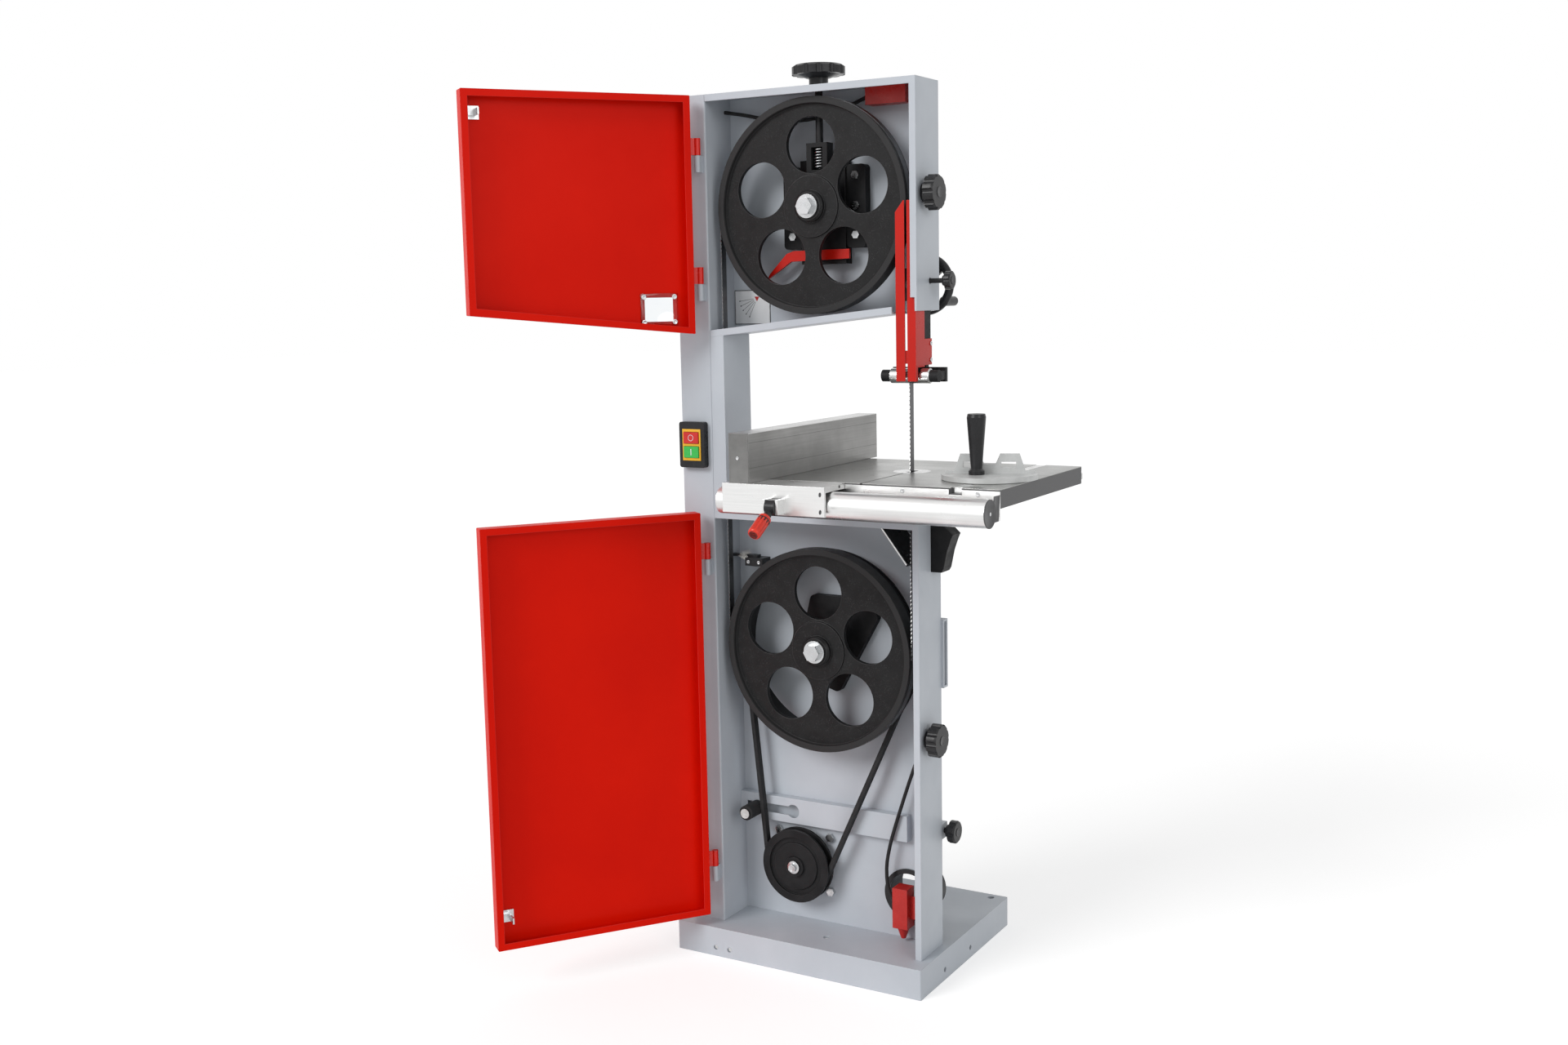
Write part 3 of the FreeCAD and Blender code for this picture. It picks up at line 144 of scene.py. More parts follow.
finishes = {
    "greyPaint": {"colour": (0.52, 0.555, 0.6), "second": (0.47, 0.505, 0.55), "cloud": 5, "grain": 700,
                  "rough": (0.34, 0.46), "bump": 0.06, "specular": 0.35, "edge": 1.4, "edgeWearAndHighlight": 0.12},
    "redPaint": {"colour": (0.74, 0.009, 0.001), "second": (0.68, 0.007, 0.001), "cloud": 3, "grain": 900,
                 "rough": (0.3, 0.4), "bump": 0.04, "specular": 0.06, "edge": 1.2, "edgeWearAndHighlight": 0.18},
    "blackCast": {"colour": (0.009, 0.009, 0.01), "second": (0.018, 0.018, 0.019), "cloud": 30, "grain": 420,
                  "rough": (0.4, 0.6), "bump": 0.3, "specular": 0.16, "edge": 1.2, "edgeWearAndHighlight": 0.1},
    "blackPlastic": {"colour": (0.016, 0.016, 0.017), "second": (0.024, 0.024, 0.026), "cloud": 25,
                     "grain": 1500, "rough": (0.24, 0.38), "bump": 0.08, "specular": 0.24, "edge": 0.8,
                     "edgeWearAndHighlight": 0.05},
    "guardRed": {"colour": (0.56, 0.012, 0.005), "second": (0.49, 0.009, 0.004), "cloud": 6, "grain": 900,
                 "rough": (0.26, 0.36), "bump": 0.04, "specular": 0.25, "edge": 1, "edgeWearAndHighlight": 0.25},
    "redPlastic": {"colour": (0.52, 0.02, 0.015), "second": (0.45, 0.015, 0.012), "cloud": 40, "grain": 1500,
                   "rough": (0.25, 0.38), "bump": 0.06, "specular": 0.4, "edge": 0.6, "edgeWearAndHighlight": 0.1},
    "gripRed": {"colour": (0.72, 0.035, 0.014), "second": (0.66, 0.03, 0.012), "cloud": 40, "grain": 1500,
                "rough": (0.24, 0.34), "bump": 0.05, "specular": 0.4, "edge": 0.6, "edgeWearAndHighlight": 0.1},
    "fenceCap": {"colour": (0.2, 0.2, 0.195), "second": (0.17, 0.17, 0.166), "cloud": 40, "grain": 1200,
                 "rough": (0.4, 0.52), "bump": 0.06, "specular": 0.3, "edge": 0.5, "edgeWearAndHighlight": 0.2},
    "redButton": {"colour": (0.62, 0.03, 0.025), "second": (0.56, 0.024, 0.02), "cloud": 60, "grain": 1800,
                  "rough": (0.3, 0.4), "bump": 0.05, "specular": 0.35, "edge": 0.8, "edgeWearAndHighlight": 0.15},
    "greenButton": {"colour": (0.05, 0.5, 0.09), "second": (0.04, 0.44, 0.075), "cloud": 60, "grain": 1800,
                    "rough": (0.3, 0.4), "bump": 0.05, "specular": 0.35, "edge": 0.8, "edgeWearAndHighlight": 0.15},
    "yellowPlastic": {"colour": (0.85, 0.47, 0.03), "second": (0.8, 0.43, 0.025), "cloud": 50, "grain": 1800,
                      "rough": (0.3, 0.42), "bump": 0.05, "specular": 0.35, "edge": 0.5, "edgeWearAndHighlight": 0.1},
    "rubber": {"colour": (0.02, 0.02, 0.021), "second": (0.032, 0.032, 0.033), "cloud": 60, "grain": 900,
               "rough": (0.55, 0.75), "bump": 0.2, "specular": 0.15, "edge": 0.8, "edgeWearAndHighlight": 0.05},
    "motorPaint": {"colour": (0.05, 0.055, 0.06), "second": (0.065, 0.07, 0.075), "cloud": 12, "grain": 500,
                   "rough": (0.36, 0.5), "bump": 0.12, "specular": 0.4, "edge": 1, "edgeWearAndHighlight": 0.15},
    "zinc": {"colour": (0.6, 0.61, 0.62), "second": (0.53, 0.54, 0.55), "cloud": 60, "grain": 600,
             "rough": (0.2, 0.36), "bump": 0.1, "metal": 1, "edge": 0.5, "edgeWearAndHighlight": 0.2},
    "brightSteel": {"colour": (0.66, 0.66, 0.65), "second": (0.5, 0.5, 0.5), "cloud": 60, "grain": 320,
                    "stretch": (1, 1, 8), "rough": (0.14, 0.28), "bump": 0.05, "metal": 1, "edge": 0.6,
                    "edgeWearAndHighlight": 0.2},
    "bladeSteel": {"colour": (0.1, 0.1, 0.105), "second": (0.16, 0.16, 0.165), "cloud": 50, "grain": 400,
                   "stretch": (1, 1, 0.1), "rough": (0.32, 0.5), "bump": 0.05, "metal": 1},
    "railAluminium": {"colour": (0.84, 0.84, 0.835), "second": (0.76, 0.76, 0.755), "cloud": 9, "grain": 260,
                      "stretch": (0.03, 1, 1), "rough": (0.26, 0.38), "bump": 0.06, "metal": 1, "edge": 0.8,
                      "edgeWearAndHighlight": 0.2},
    "fenceAluminium": {"colour": (0.29, 0.287, 0.28), "second": (0.22, 0.218, 0.213), "cloud": 5,
                       "grain": 240, "stretch": (1, 0.02, 1), "rough": (0.28, 0.4), "bump": 0.07,
                       "metal": 1, "edge": 1,
                       "edgeWearAndHighlight": 0.45},
    "castAluminium": {"colour": (0.56, 0.57, 0.565), "second": (0.48, 0.49, 0.485), "cloud": 40, "grain": 380,
                      "rough": (0.34, 0.48), "bump": 0.12, "metal": 0.2, "edge": 1, "edgeWearAndHighlight": 0.25},
    "darkCap": {"colour": (0.085, 0.085, 0.088), "second": (0.07, 0.07, 0.072), "cloud": 40, "grain": 1200,
                "rough": (0.42, 0.55), "bump": 0.08, "specular": 0.35, "edge": 0.5, "edgeWearAndHighlight": 0.15},
    "labelWhite": {"colour": (0.78, 0.79, 0.8), "second": (0.74, 0.75, 0.76), "cloud": 30, "grain": 900,
                   "rough": (0.35, 0.45), "bump": 0.03, "specular": 0.4},
    "bristle": {"colour": (0.75, 0.74, 0.7), "second": (0.5, 0.49, 0.46), "cloud": 300, "grain": 900,
                "rough": (0.5, 0.65), "bump": 0.1, "specular": 0.3},
}


def linkTo(tree, given, socket):
    if isinstance(given, bpy.types.NodeSocket):
        tree.links.new(given, socket)
    else:
        socket.default_value = given


def noiseNode(tree, vector, scale, detail=5, roughness=0.6):
    node = tree.nodes.new("ShaderNodeTexNoise")
    tree.links.new(vector, node.inputs["Vector"])
    node.inputs["Scale"].default_value = scale
    node.inputs["Detail"].default_value = detail
    node.inputs["Roughness"].default_value = roughness
    return node.outputs["Fac"]


def rangeNode(tree, given, fromLow, fromHigh, toLow=0, toHigh=1):
    node = tree.nodes.new("ShaderNodeMapRange")
    tree.links.new(given, node.inputs["Value"])
    for name, number in (("From Min", fromLow), ("From Max", fromHigh),
                         ("To Min", toLow), ("To Max", toHigh)):
        node.inputs[name].default_value = number
    return node.outputs["Result"]


def mixNode(tree, share, first, second):
    node = tree.nodes.new("ShaderNodeMix")
    node.data_type = "RGBA"
    sockets = [socket for socket in node.inputs if socket.type == "RGBA"]
    linkTo(tree, share, node.inputs[0])
    for socket, given in zip(sockets, (first, second)):
        linkTo(tree, (*given, 1) if isinstance(given, tuple) else given, socket)
    return next(socket for socket in node.outputs if socket.type == "RGBA")


def objectPoint(tree):
    return tree.nodes.new("ShaderNodeTexCoord").outputs["Object"]


def splitPoint(tree, vector):
    node = tree.nodes.new("ShaderNodeSeparateXYZ")
    tree.links.new(vector, node.inputs[0])
    return node.outputs


def makeFinish(name, look=None, colourNote=None, roughNote=None, metalNote=None):
    # the notes change a finish's colour, roughness or metal by place: each gets the tree and the socket
    look = look or finishes[name]
    material = bpy.data.materials.new(name)
    material.use_nodes = True
    tree = material.node_tree
    shader = tree.nodes["Principled BSDF"]
    point = objectPoint(tree)
    stretch = tree.nodes.new("ShaderNodeMapping")
    stretch.inputs["Scale"].default_value = look.get("stretch", (1, 1, 1))
    tree.links.new(point, stretch.inputs["Vector"])
    cloud = rangeNode(tree, noiseNode(tree, point, look["cloud"]), 0.35, 0.65)
    grain = noiseNode(tree, stretch.outputs["Vector"], look["grain"], 3)
    colour = mixNode(tree, cloud, look["colour"], look["second"])
    if "stretch" in look:   # brushing also shows as fine light and dark lines
        streak = rangeNode(tree, grain, 0.3, 0.7, 0, 0.3)
        colour = mixNode(tree, streak, colour, tuple(0.72 * part for part in look["second"]))
    if "edge" in look:   # a slightly rounded arris, lighter in colour: partly wear and partly a painted highlight
        round_ = tree.nodes.new("ShaderNodeBevel")
        round_.samples = 4
        round_.inputs["Radius"].default_value = look["edge"] * mm
        face = tree.nodes.new("ShaderNodeNewGeometry")
        meet = tree.nodes.new("ShaderNodeVectorMath")
        meet.operation = "DOT_PRODUCT"
        tree.links.new(round_.outputs[0], meet.inputs[0])
        tree.links.new(face.outputs["Normal"], meet.inputs[1])
        rim = rangeNode(tree, meet.outputs["Value"], 1, 0.85, 0, look["edgeWearAndHighlight"])
        colour = mixNode(tree, rim, colour, tuple(min(1, part + 0.35) for part in look["colour"]))
    if colourNote:
        colour = colourNote(tree, colour)
    tree.links.new(colour, shader.inputs["Base Color"])
    rough = rangeNode(tree, mixNoise(tree, cloud, grain), 0.3, 0.7, *look["rough"])
    if roughNote:
        rough = roughNote(tree, rough)
    tree.links.new(rough, shader.inputs["Roughness"])
    shader.inputs["Metallic"].default_value = look.get("metal", 0)
    if metalNote:
        tree.links.new(metalNote(tree), shader.inputs["Metallic"])
    shader.inputs["Specular IOR Level"].default_value = look.get("specular", 0.5)
    bump = tree.nodes.new("ShaderNodeBump")
    bump.inputs["Strength"].default_value = look["bump"]
    bump.inputs["Distance"].default_value = 0.3 * mm
    tree.links.new(grain, bump.inputs["Height"])
    if "edge" in look:
        tree.links.new(round_.outputs[0], bump.inputs["Normal"])
    tree.links.new(bump.outputs[0], shader.inputs["Normal"])
    return material


def mixNoise(tree, first, second):
    return mathNode(tree, "MULTIPLY", mathNode(tree, "ADD", first, second), 0.5)


def dress(node, material):
    slots = frame["nodes"][node].material_slots
    if not slots:
        frame["nodes"][node].data.materials.append(material)
    for slot in frame["nodes"][node].material_slots:
        slot.material = material


def distanceNode(tree, *pairs):
    # how far a place lies from a line, from two pairs of a socket and the line's own number
    out = [mathNode(tree, "POWER", mathNode(tree, "ABSOLUTE", mathNode(tree, "SUBTRACT", socket, at)), 2)
           for socket, at in pairs]
    return mathNode(tree, "SQRT", mathNode(tree, "ADD", *out))


wheelLook = {"colour": (0.011, 0.011, 0.0115), "second": (0.006, 0.006, 0.0065), "cloud": 22, "grain": 330,
             "rough": (0.34, 0.52), "bump": 0.35, "specular": 0.2, "edge": 1.5, "edgeWearAndHighlight": 0.22,
             "paintedGlint": (0.05, 0.05, 0.052), "paintedGlintScale": 420, "rimWidth": 15, "rimEdge": 1.5,
             "ringRate": 5200, "ringDark": (0.014, 0.014, 0.0145), "ringLight": (0.034, 0.034, 0.035)}


def wheelFinish(name, node):
    low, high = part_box(node)
    centre, radius = (low + high) / 2, (high.x - low.x) / 2

    def paintedGlintsAndTurnedRim(tree, colour):
        # pale specks in patches over the wheel's face are painted glints; the rim's turned rings are its own
        # colour
        point = objectPoint(tree)
        patch = rangeNode(tree, noiseNode(tree, point, 90, 6, 0.7), 0.42, 0.66)
        paintedGlint = rangeNode(tree, noiseNode(tree, point, wheelLook["paintedGlintScale"], 2, 0.8), 0.52, 0.74)
        colour = mixNode(tree, mathNode(tree, "MULTIPLY", patch, paintedGlint), colour, wheelLook["paintedGlint"])
        place = splitPoint(tree, point)
        reach = distanceNode(tree, (place[0], centre.x), (place[2], centre.z))
        rim = rangeNode(tree, reach, radius - wheelLook["rimWidth"] * mm,
                        radius - (wheelLook["rimWidth"] - wheelLook["rimEdge"]) * mm)
        rings = mathNode(tree, "SINE", mathNode(tree, "MULTIPLY", reach, wheelLook["ringRate"]))
        turned = mixNode(tree, rangeNode(tree, rings, -1, 1), wheelLook["ringDark"], wheelLook["ringLight"])
        return mixNode(tree, rim, colour, turned)

    return makeFinish(name, wheelLook, colourNote=paintedGlintsAndTurnedRim)


tableLook = {"colour": (0.36, 0.362, 0.35), "second": (0.28, 0.283, 0.275), "cloud": 4, "grain": 210,
             "stretch": (0.03, 1, 1), "rough": (0.26, 0.4), "bump": 0.08, "metal": 1, "edge": 1.2,
             "edgeWearAndHighlight": 0.3, "side": (0.07, 0.07, 0.072)}


def tableFinish():
    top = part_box("table_top")[1].z

    def topShare(tree):
        return rangeNode(tree, splitPoint(tree, objectPoint(tree))[2], top - 1.2 * mm, top - 0.8 * mm)

    def sides(tree, colour):
        return mixNode(tree, topShare(tree), tableLook["side"], colour)

    def sideRough(tree, rough):
        node = tree.nodes.new("ShaderNodeMix")
        for i, given in enumerate((topShare(tree), 0.5, rough)):
            linkTo(tree, given, node.inputs[(0, 2, 3)[i]])
        return node.outputs[0]

    return makeFinish("groundIron", tableLook, colourNote=sides, roughNote=sideRough, metalNote=topShare)


hingeReach = 50 * mm


def fittingsFinish(name, jointName):
    # red hinge knuckles close to the door's hinge line, bright zinc for the key beyond them
    pivot = joints[jointName]["pos_m"]

    def near(tree):
        place = splitPoint(tree, objectPoint(tree))
        reach = distanceNode(tree, (place[0], pivot[0]), (place[1], pivot[1]))
        return rangeNode(tree, reach, hingeReach, hingeReach + mm)

    def twoColours(tree, colour):
        return mixNode(tree, near(tree), finishes["redPaint"]["colour"], colour)

    return makeFinish(name, finishes["zinc"], colourNote=twoColours, metalNote=near)


grooveShadeAndTopHighlight = {"heights": (0.3, 0.806), "halfWidth": 0.0006, "colour": (0.12, 0.12, 0.117), "strength": 0.8,
           "topEdge": (1.4, 0.9), "topHighlight": 0.6}


def fenceFinish():
    # two fine grooves painted as dark lines of shade along the fence's face, at shares of its height, and a
    # painted highlight along the top edge
    low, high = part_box("fence_profile")

    def paintGrooveShadeAndTopHighlight(tree, colour):
        up = splitPoint(tree, objectPoint(tree))[2]
        for share in grooveShadeAndTopHighlight["heights"]:
            at = low.z + (high.z - low.z) * share
            near = mathNode(tree, "ABSOLUTE", mathNode(tree, "SUBTRACT", up, at))
            grooveShadeLine = rangeNode(tree, near, grooveShadeAndTopHighlight["halfWidth"], grooveShadeAndTopHighlight["halfWidth"] / 2, 0,
                             grooveShadeAndTopHighlight["strength"])
            colour = mixNode(tree, grooveShadeLine, colour, grooveShadeAndTopHighlight["colour"])
        top = rangeNode(tree, up, high.z - grooveShadeAndTopHighlight["topEdge"][0] * mm, high.z - grooveShadeAndTopHighlight["topEdge"][1] * mm, 0,
                        grooveShadeAndTopHighlight["topHighlight"])
        return mixNode(tree, top, colour, finishes["railAluminium"]["colour"])

    return makeFinish("fenceFace", finishes["fenceAluminium"], colourNote=paintGrooveShadeAndTopHighlight)


material = {name: makeFinish(name) for name in finishes}
nodeFinish = {
    "greyPaint": ("base_plinth", "column", "blade_cover", "upper_shell", "upper_back_panel", "lower_shell",
                  "lower_back_panel", "brace_channel", "axle_carrier", "hinge_brackets"),
    "redPaint": ("upper_door", "lower_door"),
    "guardRed": ("blade_guard", "release_lever"),
    "blackCast": ("drive_sheave", "lower_axle_bracket", "carriage_guides", "wheel_carriage", "motor_pulley",
                  "trunnion_cradle", "post_block", "guide_bracket", "table_trunnions"),
    "blackPlastic": ("tension_handwheel", "tensioner_knob", "upper_door_knob", "lower_door_knob",
                     "guide_handwheel", "post_lock_knob", "clamp_lever", "mitre_handle", "switch_plate",
                     "dust_port", "chip_guards"),
    "redPlastic": ("interlock_switches",),
    "redButton": ("stop_button",),
    "greenButton": ("start_button",),
    "rubber": ("drive_belt", "interlock_leads", "tension_roller"),
    "motorPaint": ("motor",),
    "zinc": ("lower_axle", "upper_axle", "panel_bolts"),
    "brightSteel": ("lower_guide", "roller_carriage", "left_guide_roller", "right_guide_roller",
                    "table_insert", "mitre_bar"),
    "bladeSteel": ("saw_blade",),
    "railAluminium": ("table_rails", "fence_carrier"),
    "fenceAluminium": ("fence_profile",),
    "castAluminium": ("mitre_head",),
}
for finish, names in nodeFinish.items():
    for name in names:
        dress(name, material[finish])
dress("lower_wheel", wheelFinish("lowerWheelCast", "lower_wheel"))
dress("upper_wheel", wheelFinish("upperWheelCast", "upper_wheel"))
dress("table_top", tableFinish())
dress("fence_profile", fenceFinish())
dress("upper_door_fittings", fittingsFinish("upperFittings", "upper_door_swing"))
dress("lower_door_fittings", fittingsFinish("lowerFittings", "lower_door_swing"))
print("finishes made and given to the nodes")


# helpers that make the pieces

def clearAll():
    active = bpy.context.view_layer.objects.active
    if active and active.mode == "EDIT":
        bpy.ops.object.mode_set(mode="OBJECT")
    bpy.ops.object.select_all(action="DESELECT")


def activate(piece):
    clearAll()
    piece.select_set(True)
    bpy.context.view_layer.objects.active = piece


def settle(piece):
    activate(piece)
    bpy.ops.object.transform_apply(location=True, rotation=True, scale=True)
    return piece


def startBox(name, low, high):
    clearAll()
    bpy.ops.mesh.primitive_cube_add(size=1, location=[(a + b) / 2 for a, b in zip(low, high)])
    piece = bpy.context.object
    piece.name = name
    piece.scale = [b - a for a, b in zip(low, high)]
    return settle(piece)


def startRound(name, centre, radius, depth, axis, sides=40):
    clearAll()
    bpy.ops.mesh.primitive_cylinder_add(vertices=sides, radius=radius, depth=depth, location=centre,
                                        rotation=turnTo[axis])
    piece = bpy.context.object
    piece.name = name
    return settle(piece)


def pickFaces(piece, test):
    # opens the piece in edit mode with only the faces selected whose middle and normal pass the test
    activate(piece)
    bpy.ops.object.mode_set(mode="EDIT")
    bpy.ops.mesh.select_mode(type="FACE")
    shape = bmesh.from_edit_mesh(piece.data)
    for face in shape.faces:
        face.select_set(bool(test(face.calc_center_median(), face.normal)))
    bmesh.update_edit_mesh(piece.data)


def sinkFaces(piece, test, rim, depth):
    # insets the picked faces by rim and moves them inwards by depth, or outwards where depth is negative
    pickFaces(piece, test)
    bpy.ops.mesh.inset(thickness=rim, depth=0)
    if depth:
        bpy.ops.mesh.inset(thickness=0.00002, depth=0)
        bpy.ops.transform.shrink_fatten(value=-depth)
    bpy.ops.object.mode_set(mode="OBJECT")


def softEdges(piece, width, segments=2, angle=40):
    activate(piece)
    bevel = piece.modifiers.new("softEdges", "BEVEL")
    bevel.width = width
    bevel.segments = segments
    bevel.limit_method = "ANGLE"
    bevel.angle_limit = math.radians(angle)
    bpy.ops.object.modifier_apply(modifier="softEdges")


def finishPiece(piece, finish, body):
    activate(piece)
    bpy.ops.object.shade_smooth_by_angle(angle=math.radians(35))
    piece.data.materials.clear()
    piece.data.materials.append(material[finish] if isinstance(finish, str) else finish)
    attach(piece, body)
    return piece


def copyPiece(piece, name, move):
    # a copy with its own mesh, moved or turned by a matrix
    twin = piece.copy()
    twin.data = piece.data.copy()
    twin.name = name
    bpy.context.scene.collection.objects.link(twin)
    twin.parent = None
    twin.data.transform(move)
    return twin


def joinPieces(pieces, name):
    activate(pieces[0])
    for piece in pieces[1:]:
        piece.select_set(True)
    bpy.ops.object.join()
    pieces[0].name = name
    return pieces[0]


def doorTurn(jointName):
    # where a door drawn shut goes when it stands open
    pivot = Vector(joints[jointName]["pos_m"])
    angle = -math.radians(joints[jointName]["range_deg"][1])
    return Matrix.Translation(pivot) @ Matrix.Rotation(angle, 4, "Z") @ Matrix.Translation(-pivot)


def buttonScrew(name, centre, axis, out, radius, height):
    # a domed head with a socket, standing out along axis by its height
    middle = Vector(centre)
    middle["XYZ".index(axis)] += out * height / 2
    head = startRound(name, middle, radius, height, axis, 24)
    index = "XYZ".index(axis)
    sinkFaces(head, lambda at, normal: normal[index] * out > 0.9, radius * 0.5, height * 0.55)
    softEdges(head, radius * 0.22, 3)
    return head


def fromCorner(node, corner, *steps):
    # a point so many millimetres from a corner of a node's box: l is its lowest side and h its highest
    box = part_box(node)
    return Vector([box[side == "h"][i] + step * mm for i, (side, step) in enumerate(zip(corner, steps))])


def placeBar(name, start, finish, width, depth):
    # a flat bar on an X-Z face, from start to finish, which are points on its middle line
    first, last = Vector(start), Vector(finish)
    run = last - first
    bar = startBox(name, (-run.length / 2, -depth / 2, -width / 2), (run.length / 2, depth / 2, width / 2))
    softEdges(bar, min(width, depth) * 0.3, 2)
    turn = Matrix.Rotation(-math.atan2(run.z, run.x), 4, "Y")
    bar.data.transform(Matrix.Translation((first + last) / 2) @ turn)
    return bar


def cutOut(piece, cutters):
    for cutter in cutters:
        activate(piece)
        opening = piece.modifiers.new("opening", "BOOLEAN")
        opening.operation = "DIFFERENCE"
        opening.solver = "EXACT"
        opening.object = cutter
        bpy.ops.object.modifier_apply(modifier="opening")
        activate(cutter)
        bpy.ops.object.delete()


# the clear pane over the upper door's opening, drawn with the door shut and then turned with it
# its corners are in millimetres from the door's pivot
window = {"low": (44, -13, -230.5), "high": (119, -10.6, -169.5), "edge": 0.0006, "rim": 0.0076,
          "sink": 0.0003, "screwRadius": 0.005, "screwHeight": 0.0021, "screwInset": 0.0065}


def makeWindow():
    pivot = joints["upper_door_swing"]["pos_m"]
    low, high = [[at + step * mm for at, step in zip(pivot, window[key])] for key in ("low", "high")]
    pane = startBox("windowPane", low, high)
    sinkFaces(pane, lambda at, normal: normal.y > 0.9, window["rim"], window["sink"])
    softEdges(pane, window["edge"])
    pane.data.transform(doorTurn("upper_door_swing"))
    finishPiece(pane, clearPane(), "upper_door")
    inset = window["screwInset"]
    for column, across in (("Left", low[0] + inset), ("Right", high[0] - inset)):
        for row, up in (("Low", low[2] + inset), ("High", high[2] - inset)):
            screw = buttonScrew("windowScrew" + column + row, (across, high[1] - window["sink"], up), "Y", 1,
                                window["screwRadius"], window["screwHeight"])
            screw.data.transform(doorTurn("upper_door_swing"))
            finishPiece(screw, "zinc", "upper_door")


def clearPane():
    pane = makeFinish("clearPane", {"colour": (0.93, 0.95, 0.96), "second": (0.9, 0.93, 0.95), "cloud": 20,
                                    "grain": 500, "rough": (0.03, 0.09), "bump": 0.01, "specular": 0.5})
    shader = next(n for n in pane.node_tree.nodes if n.type == "BSDF_PRINCIPLED")
    shader.inputs["Transmission Weight"].default_value = 1
    shader.inputs["IOR"].default_value = 1.45
    return pane


makeWindow()
print("window pane made")


# the switch's raised yellow surround, with a mark on each button
# its corners are in millimetres from the plate's lowest corner
surround = {"low": (8, -1.6, 14), "high": (50, 0.2, 76), "edge": 0.0005, "gap": 0.0006, "cutFront": 0.01,
            "cutBack": 0.008, "ringRadius": 0.0062, "ringWidth": 0.0009, "ringDepth": 0.001,
            "barHeight": 0.0125, "barWidth": 0.0019, "barOut": 0.0005, "barIn": 0.0004}


def makeSurround():
    plate = startBox("switchSurround", *[fromCorner("switch_plate", "lll", *surround[key])
                                         for key in ("low", "high")])
    softEdges(plate, surround["edge"])
    start, stop = [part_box(name) for name in ("start_button", "stop_button")]
    gap = surround["gap"]
    cutOut(plate, [startBox("cutter", (low.x - gap, low.y - surround["cutFront"], low.z - gap),
                            (high.x + gap, high.y + surround["cutBack"], high.z + gap))
                   for low, high in (start, stop)])
    finishPiece(plate, "yellowPlastic", "frame")
    middle = (start[0] + start[1]) / 2
    bar = startBox("startMark", (middle.x - surround["barWidth"] / 2, start[0].y - surround["barOut"],
                                 middle.z - surround["barHeight"] / 2),
                   (middle.x + surround["barWidth"] / 2, start[0].y + surround["barIn"],
                    middle.z + surround["barHeight"] / 2))
    softEdges(bar, 0.0003)
    finishPiece(bar, "labelWhite", "start_button")
    middle = (stop[0] + stop[1]) / 2
    centre = (middle.x, stop[0].y, middle.z)
    ring = startRound("stopMark", centre, surround["ringRadius"], surround["ringDepth"], "Y", 48)
    inner = surround["ringRadius"] - surround["ringWidth"]
    cutOut(ring, [startRound("cutter", centre, inner, surround["ringDepth"] * 10, "Y", 48)])
    softEdges(ring, 0.0002)
    finishPiece(ring, "labelWhite", "stop_button")


makeSurround()
print("switch surround and marks made")


# the coloured grip pushed over the fence's clamp lever
grip = {"from": 0.028, "to": 0.077, "radius": 0.0118, "lean": 31, "flute": 0.0006, "endRound": 0.0048}


def makeGrip():
    hub = Vector(joints["clamp_lever_turn"]["pos_m"])
    middle = -(grip["from"] + grip["to"]) / 2
    piece = startRound("leverGrip", (0, middle, 0), grip["radius"], grip["to"] - grip["from"], "Y", 48)
    softEdges(piece, grip["endRound"], 5)
    # alternate faces round the grip become shallow flutes
    pickFaces(piece, lambda at, normal: abs(normal.y) < 0.1
              and round(math.degrees(math.atan2(at.z, at.x))) % 2)
    bpy.ops.mesh.inset(thickness=0.0003, depth=0, use_individual=True)
    bpy.ops.transform.shrink_fatten(value=-grip["flute"])
    bpy.ops.object.mode_set(mode="OBJECT")
    piece.data.transform(Matrix.Translation(hub) @ Matrix.Rotation(math.radians(grip["lean"]), 4, "X"))
    finishPiece(piece, "gripRed", "clamp_lever")


makeGrip()
print("lever grip made")


# the plastic caps that close the front rail and the fence, each held by a screw
# the rail's centre and its plate are in millimetres, back and up, from the lowest corner of the rails
caps = {"railCentre": (24.26, 24.3), "railRadius": 0.0243, "railDepth": 0.002,
        "plate": ((42.26, 7.8), (66.26, 51.3)), "plateLean": 0.006, "fenceDepth": 0.002,
        "rim": 0.0024, "screwRadius": 0.0032}


def makeCaps():
    railEnd, across, up = fromCorner("table_rails", "hll", 0, *caps["railCentre"])
    disc = startRound("railEndCap", (railEnd + caps["railDepth"] / 2, across, up), caps["railRadius"],
                      caps["railDepth"], "X", 64)
    plateLow, plateHigh = [fromCorner("table_rails", "hll", 0, *place) for place in caps["plate"]]
    plateHigh.x += caps["railDepth"] * 0.9
    plate = startBox("railPlate", plateLow, plateHigh)
    pickFaces(plate, lambda at, normal: normal.z < -0.9)
    bpy.ops.transform.translate(value=(0, -caps["plateLean"], 0))
    bpy.ops.object.mode_set(mode="OBJECT")
    for part in (disc, plate):
        sinkFaces(part, lambda at, normal: normal.x > 0.9, caps["rim"], 0.0003)
        softEdges(part, 0.0003)
    finishPiece(joinPieces([disc, plate], "railEndCap"), "darkCap", "table")
    screw = buttonScrew("railCapScrew", (railEnd + caps["railDepth"] - 0.0003, across, up), "X", 1,
                        caps["screwRadius"], 0.0007)
    finishPiece(screw, "zinc", "table")
    low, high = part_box("fence_profile")
    fence = startBox("fenceEndCap", (low[0], low[1] - caps["fenceDepth"], low[2]), (high[0], low[1], high[2]))
    sinkFaces(fence, lambda at, normal: normal.y < -0.9, caps["rim"], 0.0005)
    softEdges(fence, 0.0005)
    finishPiece(fence, "fenceCap", "fence")
    screw = buttonScrew("fenceCapScrew", (low[0] + 0.018, low[1] - caps["fenceDepth"] + 0.0005,
                                          (low[2] + high[2]) / 2), "Y", -1, caps["screwRadius"], 0.0014)
    finishPiece(screw, "zinc", "fence")


makeCaps()
print("rail and fence caps made")


